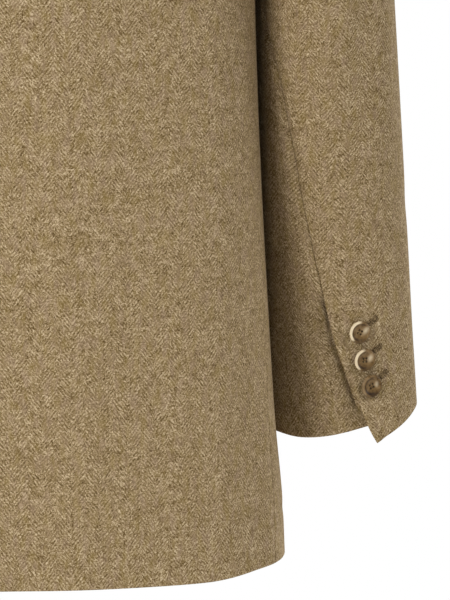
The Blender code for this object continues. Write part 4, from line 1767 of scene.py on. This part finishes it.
@dataclass
class HornButton:
    """A horn button where its solid sits, sewn on with thread; shares are of its radius or thickness."""

    node: str
    size: ButtonSize
    faces: Place
    # Side towards the lamps, which gets the rim's painted highlight, and that highlight's strength.
    pale_towards: Place
    pale_strength: float
    turn_deg: float
    tone: HornTone = HornTone()
    bowl_start: float = 0.1
    bowl_share: float = 0.82
    bowl_power: float = 2.4
    bowl_steps: int = 14
    crown_share: float = 0.84
    crown_height: float = 0.60
    crown_top_deg: float = 80.0
    crown_foot_deg: float = -35.0
    crown_steps: int = 10
    back_share: float = 0.78
    sharp_deg: float = 40.0
    thread_share: float = 0.22
    stitch_share: float = 0.62
    stitch_flat: float = 0.9
    shank_share: float = 0.55
    shank_taper: float = 0.8
    shank_length: float = 0.0024
    shank_middle: float = -0.0010

    def build(self, horn: bpy.types.Material, thread: bpy.types.Material) -> Matrix:
        """Makes the button and its thread.

        Args:
            horn: The button's material.
            thread: The thread's material.

        Returns:
            The button's place.
        """
        place = self._place()
        disc = self._disc()
        self._paint(disc, place)
        disc.data.transform(place)
        disc.data.materials.append(horn)
        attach(disc, BODY)
        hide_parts(self.node)
        stitches = self._stitches()
        stitches.data.transform(place)
        stitches.data.materials.append(thread)
        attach(stitches, BODY)
        LOG.info("%s and its thread", disc.name)
        return place

    def _place(self) -> Matrix:
        """Where the solid sits: its back's middle, with +Z out of the cloth.

        Returns:
            The place.
        """
        points = np.array([v.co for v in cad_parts[self.node].data.vertices])
        centre = (points.min(axis=0) + points.max(axis=0)) / 2
        spread = np.linalg.svd(points - points.mean(axis=0), full_matrices=False)[2]
        out = spread[2] * np.sign(spread[2] @ np.array(self.faces))
        reach = (points - centre) @ out
        back = centre + out * reach.min()
        up = unit(np.array((0.0, 0.0, 1.0)) - out * out[2])
        across = np.cross(up, out)
        turned = Matrix(np.stack([across, up, out], axis=1).tolist()).to_4x4()
        return Matrix.Translation(back.tolist()) @ turned

    def _disc(self) -> bpy.types.Object:
        """The button itself, its back at the origin: a turned profile with four holes cut through.

        Returns:
            The button.
        """
        r, t = self.size.diameter / 2, self.size.thickness
        floor = t - self.size.dish
        profile = [(0.0, floor)]
        for share in np.linspace(self.bowl_start, self.bowl_share, self.bowl_steps):
            profile.append((r * share, floor + self.size.dish * (share / self.bowl_share) ** self.bowl_power))
        wide, high = self.crown_share, self.crown_height
        for a in np.radians(np.linspace(self.crown_top_deg, self.crown_foot_deg, self.crown_steps)):
            profile.append((r * (wide + (1 - wide) * math.cos(a)), t * (high + (1 - high) * math.sin(a))))
        profile += [(r * self.back_share, 0.0), (0.0, 0.0)]
        mesh = bmesh.new()
        line = [mesh.verts.new((x, 0, z)) for x, z in profile]
        edges = [mesh.edges.new(pair) for pair in zip(line, line[1:])]
        bmesh.ops.spin(
            mesh,
            geom=line + edges,
            cent=(0, 0, 0),
            axis=(0, 0, 1),
            angle=2 * math.pi,
            steps=64,
            use_merge=True,
        )
        bmesh.ops.remove_doubles(mesh, verts=mesh.verts, dist=1e-6)
        bmesh.ops.recalc_face_normals(mesh, faces=mesh.faces)
        disc = self._object("horn", mesh)
        cutter = bmesh.new()
        for x, y in self._holes():
            hole = self.size.hole_diameter / 2
            made = bmesh.ops.create_cone(
                cutter, cap_ends=True, segments=16, radius1=hole, radius2=hole, depth=t * 4
            )
            bmesh.ops.translate(cutter, verts=made["verts"], vec=(x, y, 0))
        self._cut(disc, self._object("holes", cutter))
        disc.data.set_sharp_from_angle(angle=math.radians(self.sharp_deg))
        return disc

    def _object(self, word: str, mesh: bmesh.types.BMesh) -> bpy.types.Object:
        """A finished bmesh as an object named after the button's node.

        Args:
            word: Last word of its name.
            mesh: The bmesh, which is freed.

        Returns:
            The object.
        """
        data = mesh_of(f"{self.node}_{word}", mesh)
        data.shade_smooth()
        return add_piece(data)

    def _holes(self) -> list[tuple[float, float]]:
        """Middles of the four holes.

        Returns:
            Places across and up the button.
        """
        turn = math.radians(self.turn_deg)
        angles = [turn + math.pi / 2 * i for i in range(4)]
        reach = self.size.hole_circle / 2
        return [(math.cos(a) * reach, math.sin(a) * reach) for a in angles]

    @staticmethod
    def _cut(piece: bpy.types.Object, cutter: bpy.types.Object) -> None:
        """Cuts one mesh out of another for good.

        Args:
            piece: What is cut.
            cutter: What is cut out of it, and then removed.
        """
        modifier = piece.modifiers.new("holes", "BOOLEAN")
        modifier.operation = "DIFFERENCE"
        modifier.object = cutter
        shown = piece.evaluated_get(bpy.context.evaluated_depsgraph_get())
        made = bpy.data.meshes.new_from_object(shown)
        piece.modifiers.clear()
        whole, name = piece.data, piece.data.name
        piece.data = made
        bpy.data.meshes.remove(whole)
        made.name = name
        bpy.data.objects.remove(cutter)

    def _paint(self, disc: bpy.types.Object, place: Matrix) -> None:
        """Paints light and shade on the horn: painted highlight in pale cream on the rim's lit side and
        inside the bowl, painted shade round the bowl, low on the face, on the lower side and in the holes,
        and duller horn on the buttons with less rim light.

        Args:
            disc: The button at the origin.
            place: Where it goes.
        """
        towards = place.to_3x3().inverted() @ Vector(self.pale_towards)
        towards = np.array((towards.x, towards.y)) / math.hypot(towards.x, towards.y)
        points = np.array([v.co for v in disc.data.vertices]) / (self.size.diameter / 2)
        height = points[:, 2] * self.size.diameter / 2 / self.size.thickness
        radius = np.hypot(points[:, 0], points[:, 1])
        side = points[:, :2] @ towards
        facing = side / np.maximum(radius, 1e-6)
        share, up = self.tone, points[:, 1]
        # Painted highlight: a pale arc on the rim's side towards the lamps, upper part only.
        lit_crescent = fade(radius, share.rim) * fade(facing, share.side) * fade(height, share.top)
        # Painted highlight inside the bowl.
        patch = hump(side, share.patch_side) * hump(up, share.patch_up)
        # Painted shade round the bowl and at the bottom of the face, and painted shadow on the lower part of
        # the side.
        bowl = hump(radius, share.bowl) * smooth(share.bowl_side + facing)
        foot = hump(up, share.foot) * fade(radius, share.foot_rim)
        below = fade(height, share.below) * fade(radius, share.below_rim)
        shaded = share.bowl_tone * bowl + share.below_tone * below + share.foot_tone * foot
        tone = self.pale_strength * lit_crescent + share.patch_tone * patch
        tone = tone - shaded * (1 - lit_crescent) * (1 - patch)
        dull = share.dull_tone * (1 - self.pale_strength) * (1 - share.dull_patch * patch)
        corners = np.clip(tone - dull, -1, 1)[[loop.vertex_index for loop in disc.data.loops]]
        # Painted shade in and round the four holes.
        near_hole = share.hole_reach * self.size.hole_diameter
        for face in disc.data.polygons:
            if any(math.dist(face.center[:2], hole) < near_hole for hole in self._holes()):
                corners[face.loop_start : face.loop_start + face.loop_total] = -1.0
        layer = disc.data.attributes.new(PAINTED_HORN_LIGHT, "FLOAT", "CORNER")
        layer.data.foreach_set("value", corners.astype(np.float32))

    def _stitches(self) -> bpy.types.Object:
        """Two stitches between the holes, and the shank between button and cloth.

        Returns:
            The thread.
        """
        mesh = bmesh.new()
        holes = self._holes()
        wide = self.size.hole_diameter * self.thread_share
        top = self.size.thickness - self.size.dish
        for a, b in ((holes[0], holes[1]), (holes[2], holes[3])):
            length = math.dist(a, b)
            turn = Matrix.Rotation(math.atan2(b[1] - a[1], b[0] - a[0]), 4, "Z")
            middle = Matrix.Translation(((a[0] + b[0]) / 2, (a[1] + b[1]) / 2, top))
            shape = Matrix.Diagonal((length * self.stitch_share, wide, wide * self.stitch_flat, 1.0))
            place = middle @ turn @ shape
            bmesh.ops.create_uvsphere(mesh, u_segments=16, v_segments=8, radius=1.0, matrix=place)
        shank = self.size.hole_circle * self.shank_share
        bmesh.ops.create_cone(
            mesh,
            cap_ends=True,
            segments=20,
            radius1=shank,
            radius2=shank * self.shank_taper,
            depth=self.shank_length,
            matrix=Matrix.Translation((0, 0, self.shank_middle)),
        )
        return self._object("thread", mesh)


@dataclass
class Buttonhole:
    """A worked buttonhole: close stitches on both sides of a slit, and an eye at its far end."""

    name: str
    length: float = 0.0190
    stitch: float = 0.0027
    spacing: float = 0.00062
    thread: float = 0.00042
    rise: float = 0.00030
    eye: float = 0.0013
    shortest: float = 0.45
    longest: float = 1.35
    slit_share: float = 0.58
    eye_share: float = 0.6
    eye_extra: int = 4
    cast_from: float = 0.02

    def build(
        self, cloth: bpy.types.Object, start: Vector, heading: Vector, out: Vector, finish: bpy.types.Material
    ) -> bpy.types.Object:
        """Works the buttonhole on a piece of cloth.

        Args:
            cloth: The piece that it lies on.
            start: Where its slit starts, near the cloth.
            heading: Which way it runs.
            out: Roughly out of the cloth there.
            finish: The thread's material.

        Returns:
            The buttonhole.
        """
        tree = BVHTree.FromObject(cloth, bpy.context.evaluated_depsgraph_get())
        rng = np.random.default_rng(len(self.name))
        mesh = bmesh.new()
        count = int(self.length / self.spacing)
        heading = heading.normalized()
        for i in range(count + 1):
            point = start + heading * (self.length * i / count)
            at, normal = self._seat(tree, point, out)
            along = (heading - normal * heading.dot(normal)).normalized()
            aside = normal.cross(along)
            for side in (-1, 1):
                jitter = rng.uniform(self.shortest, self.longest)
                middle = at + aside * side * self.stitch * 0.5 * jitter
                self._stitch(mesh, middle, aside, along, normal, self.stitch * self.slit_share * jitter)
        self._work_eye(mesh, *self._seat(tree, start + heading * self.length, out), heading)
        data = mesh_of(self.name, mesh)
        data.shade_smooth()
        data.materials.append(finish)
        piece = add_piece(data)
        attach(piece, BODY)
        LOG.info("%s", piece.name)
        return piece

    def _work_eye(self, mesh: bmesh.types.BMesh, middle: Vector, normal: Vector, heading: Vector) -> None:
        """Works the ring of stitches round the eye at the slit's end.

        Args:
            mesh: The mesh that they go into.
            middle: The eye's middle on the cloth.
            normal: The direction out of the cloth there.
            heading: The direction of the slit.
        """
        along = (heading - normal * heading.dot(normal)).normalized()
        aside = normal.cross(along)
        count = int(2 * math.pi * self.eye / self.spacing) + self.eye_extra
        for turn in np.linspace(0, 2 * math.pi, count, endpoint=False):
            ray = along * math.cos(turn) + aside * math.sin(turn)
            half = self.stitch * self.eye_share
            self._stitch(mesh, middle + ray * self.eye, ray, normal.cross(ray), normal, half)

    def _seat(self, tree: BVHTree, point: Vector, out: Vector) -> tuple[Vector, Vector]:
        """The cloth's outer face under a point, and its direction out."""
        at, normal, _, _ = tree.ray_cast(point + out * self.cast_from, -out)
        return at, normal

    def _stitch(
        self, mesh: bmesh.types.BMesh, middle: Vector, aside: Vector, along: Vector, out: Vector, half: float
    ) -> None:
        """Adds one rounded stitch.

        Args:
            mesh: The mesh that it goes into.
            middle: Its middle on the cloth.
            aside: The direction in which it runs.
            along: The direction of the slit.
            out: The direction out of the cloth.
            half: Half its length.
        """
        turned = Matrix((aside, along, out)).transposed().to_4x4()
        shape = Matrix.Diagonal((half, self.thread, self.thread + self.rise * 0.5, 1.0))
        place = Matrix.Translation(middle + out * self.rise * 0.5) @ turned @ shape
        bmesh.ops.create_uvsphere(mesh, u_segments=6, v_segments=5, radius=1.0, matrix=place)


@dataclass
class Overcoat:
    """The whole coat: its cloth, buttons and buttonholes."""

    trunk: Trunk = field(default_factory=Trunk)
    straight_front_x: float = 0.120
    straight_samples: int = 129
    lapped_samples: int = 16
    vent_line_beyond: float = 0.0008
    cuff_heading_deg: float = 35.0
    cuff_turn_deg: float = 20.0
    cuff_turn_step_deg: float = 25.0
    cuff_faces_back: float = 0.8
    # Which way the cuff buttons' painted rim highlight faces: towards the lamps.
    cuff_pale_back: float = 0.6
    cuff_pale_up: float = 0.35
    cuff_pale_drop: float = 0.2
    front_turn_deg: float = 45.0
    # Painted rim highlight: its side on the front buttons, its strength on the first, second and third
    # buttons, and the share of it on the front.
    front_pale_left: float = 0.6
    pale: tuple[float, ...] = (1.0, 0.95, 0.42)
    front_pale_share: float = 0.45
    front_hole: float = 0.0260
    front_eye: float = 0.0006
    cloth: dict[str, bpy.types.Object] = field(default_factory=dict)

    def build(self) -> None:
        """Makes every piece in order."""
        self._sew()
        self._button()

    def _sew(self) -> None:
        """Makes the cut pieces of cloth."""
        wool = HerringboneWool().make()
        sleeve, lapel, collar = Sleeve(self.trunk), Lapel(self.trunk), Collar(self.trunk)
        pieces = [self._back_piece()]
        for side in Side:
            pieces.append(self._front_piece(side))
            pieces += self._sleeve_pieces(sleeve, side)
            pieces.append(self._lapel_piece(lapel, side))
        pieces.append(self._collar_piece(collar))
        for piece in pieces:
            self.cloth[piece.node] = piece.build(wool)

    def _back_piece(self) -> ClothPiece:
        """The back, whole across the middle.

        Returns:
            The piece, ready to build.
        """
        creases = (
            Crease((-0.045, -0.05), (-0.040, 0.62), -0.0020, 0.034),
            Crease((-0.118, -0.05), (-0.105, 0.55), 0.0022, 0.036),
            Crease((-0.195, 0.20), (-0.180, 0.66), -0.0016, 0.030),
            Crease((-0.235, -0.06), (-0.220, 0.26), 0.0028, 0.034),
            Crease((0.060, -0.05), (0.050, 0.50), -0.0022, 0.038),
            Crease((0.130, -0.05), (0.112, 0.58), 0.0020, 0.034),
            Crease((0.205, -0.05), (0.190, 0.34), -0.0024, 0.032),
            Crease((-0.150, 0.60), (-0.190, 0.74), 0.0018, 0.020),
            Crease((0.140, 0.62), (0.190, 0.73), 0.0020, 0.021),
        )
        return ClothPiece(
            node="back",
            surface=self.trunk.back_surface,
            columns=150,
            rows=215,
            straight=middle_line,
            outward=-1,
            edges=Edges(Edge.SEWN, Edge.SEWN, Edge.FREE, Edge.SEWN),
            cut=Cut(0.565, 0.890, 0.411),
            rests_on=("front_left", "front_right"),
            creases=creases,
            lips=(HEM_LINE,),
        )

    def _front_piece(self, side: Side) -> ClothPiece:
        """One front, from its edge to the side seam.

        Args:
            side: Which front.

        Returns:
            The piece, ready to build.
        """
        surface = self.trunk.front_surface(side)

        def straight(v: Array) -> Array:
            """Where along each row the straight grain runs, level with the collar's end.

            Args:
                v: Places up the piece.

            Returns:
                One place along a row for each.
            """
            u = np.linspace(0, 1, self.straight_samples)
            reach = [np.abs(surface(u, np.full_like(u, at))[:, 0]) for at in v]
            clear = slice(self.lapped_samples, None)
            return np.array([np.interp(self.straight_front_x, x[clear], u[clear]) for x in reach])

        creases = (
            Crease((-0.040, -0.05), (-0.030, 0.34), -0.0020, 0.030),
            Crease((0.035, -0.05), (0.020, 0.44), 0.0024, 0.032),
            Crease((0.100, 0.04), (0.085, 0.42), -0.0018, 0.028),
            Crease((-0.085, 0.47), (0.010, 0.36), 0.0012, 0.014),
            Crease((0.060, 0.56), (0.110, 0.44), 0.0020, 0.020),
        )
        return ClothPiece(
            node=f"front_{side.word}",
            surface=surface,
            columns=100,
            rows=215,
            straight=straight,
            outward=side.value,
            edges=Edges(Edge.FIRM, Edge.SEWN, Edge.FREE, Edge.SEWN),
            cut=Cut(0.408, 0.905, 0.257),
            rests_on=("back",),
            creases=creases,
            lips=(HEM_LINE,),
        )

    def _sleeve_pieces(self, sleeve: Sleeve, side: Side) -> list[ClothPiece]:
        """Top and under sleeve of one side.

        Args:
            sleeve: The sleeve's surfaces.
            side: Which sleeve.

        Returns:
            The two pieces, ready to build.
        """

        def vent_line(v: Array) -> Array:
            """Distance from the under sleeve's own edge to a line just beyond the vent's edge."""
            return sleeve.under_vent(v) + self.vent_line_beyond

        top_creases = (
            Crease((0.084, 0.26), (0.074, 0.50), 0.0045, 0.016),
            Crease((0.060, 0.21), (0.005, 0.18), 0.0012, 0.014),
            Crease((-0.085, 0.37), (-0.030, 0.31), 0.0032, 0.013),
            Crease((-0.090, 0.31), (-0.040, 0.27), 0.0026, 0.011),
            Crease((-0.080, 0.24), (-0.045, 0.21), 0.0018, 0.010),
            Crease((-0.020, 0.45), (-0.050, 0.58), 0.0020, 0.018),
        )
        under_creases = (
            Crease((-0.047, -0.04), (-0.047, 0.15), 0.0056, 0.034),
            Crease((-0.075, 0.19), (-0.040, 0.15), 0.0012, 0.012),
            Crease((0.060, 0.34), (0.010, 0.28), 0.0022, 0.012),
            Crease((0.000, 0.34), (0.000, 0.45), -0.0046, 0.032),
            Crease((-0.020, 0.14), (-0.015, 0.02), -0.0012, 0.018),
        )
        top_lips = (
            Lip(Rim.END, 0.0032, 0.011, -0.1, VENT_SHARE),
            Lip(Rim.END, -0.0010, 0.006, VENT_SHARE, 0.72),
            Lip(Rim.END, -0.0014, 0.005, 0.42, 0.72),
        )
        under_lips = (
            Lip(Rim.START, -0.0050, 0.036, -0.1, VENT_SHARE),
            Lip(Rim.START, -0.0034, 0.0022, 0.04, VENT_SHARE, vent_line),
            Lip(Rim.START, -0.0016, 0.007, VENT_SHARE, 0.72),
            Lip(Rim.START, -0.0008, 0.005, 0.42, 0.72),
        )
        top = ClothPiece(
            node=f"top_sleeve_{side.word}",
            surface=sleeve.top_surface(side),
            columns=84,
            rows=190,
            straight=sleeve.top_straight,
            outward=side.value,
            edges=Edges(Edge.SEWN, Edge.VENT, Edge.FREE, Edge.SEWN),
            cut=Cut(0.420, 0.725, 0.170),
            rests_on=("back", f"front_{side.word}"),
            creases=top_creases,
            lips=top_lips,
        )
        under = ClothPiece(
            node=f"under_sleeve_{side.word}",
            surface=sleeve.under_surface(side),
            columns=130,
            rows=190,
            straight=sleeve.under_straight,
            outward=side.value,
            edges=Edges(Edge.VENT, Edge.SEWN, Edge.FREE, Edge.SEWN),
            cut=Cut(0.230, 0.555, 0.075),
            rests_on=(f"front_{side.word}", "back"),
            creases=under_creases,
            lips=under_lips,
        )
        return [top, under]

    def _lapel_piece(self, lapel: Lapel, side: Side) -> ClothPiece:
        """One lapel, folded back along its roll line.

        Args:
            lapel: The lapel's surfaces.
            side: Which lapel.

        Returns:
            The piece, ready to build.
        """
        return ClothPiece(
            node=f"lapel_{side.word}",
            surface=lapel.surface(side),
            columns=46,
            rows=84,
            straight=lambda v: np.full_like(v, lapel.fold_share),
            outward=side.value,
            edges=Edges(Edge.FIRM, Edge.FREE, Edge.FREE, Edge.FREE),
            cut=Cut(0.100, 0.292, 0.0157),
            hold=Hold.FOLDED,
            rests_on=(f"front_{side.word}",),
        )

    def _collar_piece(self, collar: Collar) -> ClothPiece:
        """The collar, folded over its stand.

        Args:
            collar: The collar's surface.

        Returns:
            The piece, ready to build.
        """
        return ClothPiece(
            node="collar",
            surface=collar.surface,
            columns=170,
            rows=48,
            straight=middle_line,
            outward=1,
            edges=Edges(Edge.FREE, Edge.FREE, Edge.SEWN, Edge.FREE),
            cut=Cut(0.575, 0.128, 0.053),
            hold=Hold.FOLDED,
            rests_on=("back", "front_left", "front_right"),
        )

    def _button(self) -> None:
        """Sews on the buttons and works their buttonholes."""
        horn, thread = BrownHorn().make(), TwistThread().make()
        for side in Side:
            for i, pale in enumerate(self.pale):
                node = f"cuff_button_{side.word}_{i + 1}"
                faces = (side.value, self.cuff_faces_back, 0.0)
                # The rim's painted highlight goes on the side towards the lamps.
                towards = (-side.value, self.cuff_pale_back, self.cuff_pale_up - self.cuff_pale_drop * i)
                holes_deg = self.cuff_turn_deg + self.cuff_turn_step_deg * i
                place = HornButton(node, CUFF_BUTTON, faces, towards, pale, holes_deg).build(horn, thread)
                turn = math.radians(self.cuff_heading_deg)
                across, up, out = (Vector(place.col[k][:3]) for k in range(3))
                heading = across * -side.value * math.cos(turn) + up * math.sin(turn)
                hole = Buttonhole(f"cuff_buttonhole_{side.word}_{i + 1}")
                hole.build(self.cloth[f"top_sleeve_{side.word}"], place.translation, heading, out, thread)
        for i, pale in enumerate(self.pale):
            node = f"front_button_{i + 1}"
            faces = (0.0, -1.0, 0.0)
            # The front rims' painted highlight, on the side towards the lamps.
            towards = (self.front_pale_left, 0.0, 1.0 - i)
            strength = pale * self.front_pale_share
            button = HornButton(node, FRONT_BUTTON, faces, towards, strength, self.front_turn_deg)
            place = button.build(horn, thread)
            out = Vector(place.col[2][:3])
            hole = Buttonhole(f"front_buttonhole_{i + 1}", length=self.front_hole, eye=self.front_eye)
            hole.build(self.cloth["front_left"], place.translation, Vector((1, 0, 0)), out, thread)


class Lamp(NamedTuple):
    """A broad soft lamp at a distance from the coat, or far away at 0; azimuth runs from +Y towards +X."""

    name: str
    azimuth_deg: float
    elevation_deg: float
    strength: float
    softness_deg: float
    distance: float = 0.0


LAMPS = (
    Lamp("left_box", 40.0, 20.0, 2.42, 28.0, 2.2),
    Lamp("right_box", -98.0, 14.0, 0.96, 28.0),
    Lamp("upper_box", -50.0, 35.0, 0.85, 22.0),
    Lamp("front_left_box", 142.0, 38.0, 1.55, 30.0),
    Lamp("front_right_box", -148.0, 24.0, 1.30, 30.0),
)


@dataclass
class Studio:
    """A plain white studio with soft light, and the camera."""

    image_height: int = 600
    focal_px: float = 3494.0
    aside_px: float = 215.0
    pitch_deg: float = 7.75
    camera_at: Place = (0.0, 3.0, -0.187)
    floor_z: float = -1.45
    floor_radius: float = 2.4
    sky: float = 0.20
    lit_about: Place = (-0.10, 0.12, -0.50)

    def build(self) -> None:
        """Sets up floor, light and camera."""
        self._floor()
        self._sky()
        for lamp in LAMPS:
            self._light(lamp)
        self._camera()
        view = bpy.context.scene.view_settings
        view.view_transform = "Standard"
        view.look = "None"

    def _floor(self) -> None:
        """A plain pale round floor below the coat."""
        mesh = bmesh.new()
        bmesh.ops.create_circle(mesh, cap_ends=True, segments=128, radius=self.floor_radius)
        bmesh.ops.translate(mesh, verts=mesh.verts, vec=(0, 0, self.floor_z))
        data = mesh_of("floor", mesh)
        pale = Stage("pale_floor").surface(Base_Color=(0.92, 0.92, 0.92, 1.0), Roughness=0.9)
        data.materials.append(pale)
        add_piece(data)

    def _sky(self) -> None:
        """Even white light all round."""
        world = bpy.data.worlds.new("studio")
        world.use_nodes = True
        nodes, links = world.node_tree.nodes, world.node_tree.links
        light = nodes["Background"]
        light.inputs["Color"].default_value = (1.0, 1.0, 1.0, 1.0)
        light.inputs["Strength"].default_value = self.sky
        backdrop = nodes.new("ShaderNodeBackground")
        backdrop.inputs["Color"].default_value = (1.0, 1.0, 1.0, 1.0)
        path = nodes.new("ShaderNodeLightPath")
        mix = nodes.new("ShaderNodeMixShader")
        links.new(path.outputs["Is Camera Ray"], mix.inputs["Fac"])
        links.new(light.outputs["Background"], mix.inputs[1])
        links.new(backdrop.outputs["Background"], mix.inputs[2])
        links.new(mix.outputs["Shader"], nodes["World Output"].inputs["Surface"])
        bpy.context.scene.world = world

    def _light(self, lamp: Lamp) -> None:
        """Hangs one lamp.

        Args:
            lamp: The lamp.
        """
        azimuth, elevation = math.radians(lamp.azimuth_deg), math.radians(lamp.elevation_deg)
        level = math.cos(elevation)
        come_from = Vector((math.sin(azimuth) * level, math.cos(azimuth) * level, math.sin(elevation)))
        softness = math.radians(lamp.softness_deg)
        if lamp.distance:
            data = bpy.data.lights.new(lamp.name, "AREA")
            data.shape = "DISK"
            data.size = 2 * lamp.distance * math.tan(softness / 2)
            data.energy = lamp.strength * math.pi * lamp.distance**2
        else:
            data = bpy.data.lights.new(lamp.name, "SUN")
            data.angle = softness
            data.energy = lamp.strength
        placed = bpy.data.objects.new(lamp.name, data)
        placed.location = Vector(self.lit_about) + come_from * lamp.distance
        placed.rotation_euler = come_from.to_track_quat("Z", "Y").to_euler()
        placed.visible_camera = False
        bpy.context.scene.collection.objects.link(placed)

    def _camera(self) -> None:
        """A long lens behind the coat, looking a little down and to the wearer's right."""
        data = bpy.data.cameras.new("camera")
        data.sensor_width = 36.0
        data.lens = self.focal_px / self.image_height * data.sensor_width
        yaw, pitch = math.atan2(self.aside_px, self.focal_px), math.radians(self.pitch_deg)
        level = math.cos(pitch)
        forward = Vector((-math.sin(yaw) * level, -math.cos(yaw) * level, -math.sin(pitch)))
        camera = bpy.data.objects.new("camera", data)
        camera.location = self.camera_at
        camera.rotation_euler = forward.to_track_quat("-Z", "Y").to_euler()
        bpy.context.scene.collection.objects.link(camera)
        bpy.context.scene.camera = camera


def main() -> None:
    """Builds the studio and the coat."""
    logging.basicConfig(level=logging.INFO, format="%(name)s: %(message)s")
    Studio().build()
    Overcoat().build()


if __name__ == "__main__":
    main()
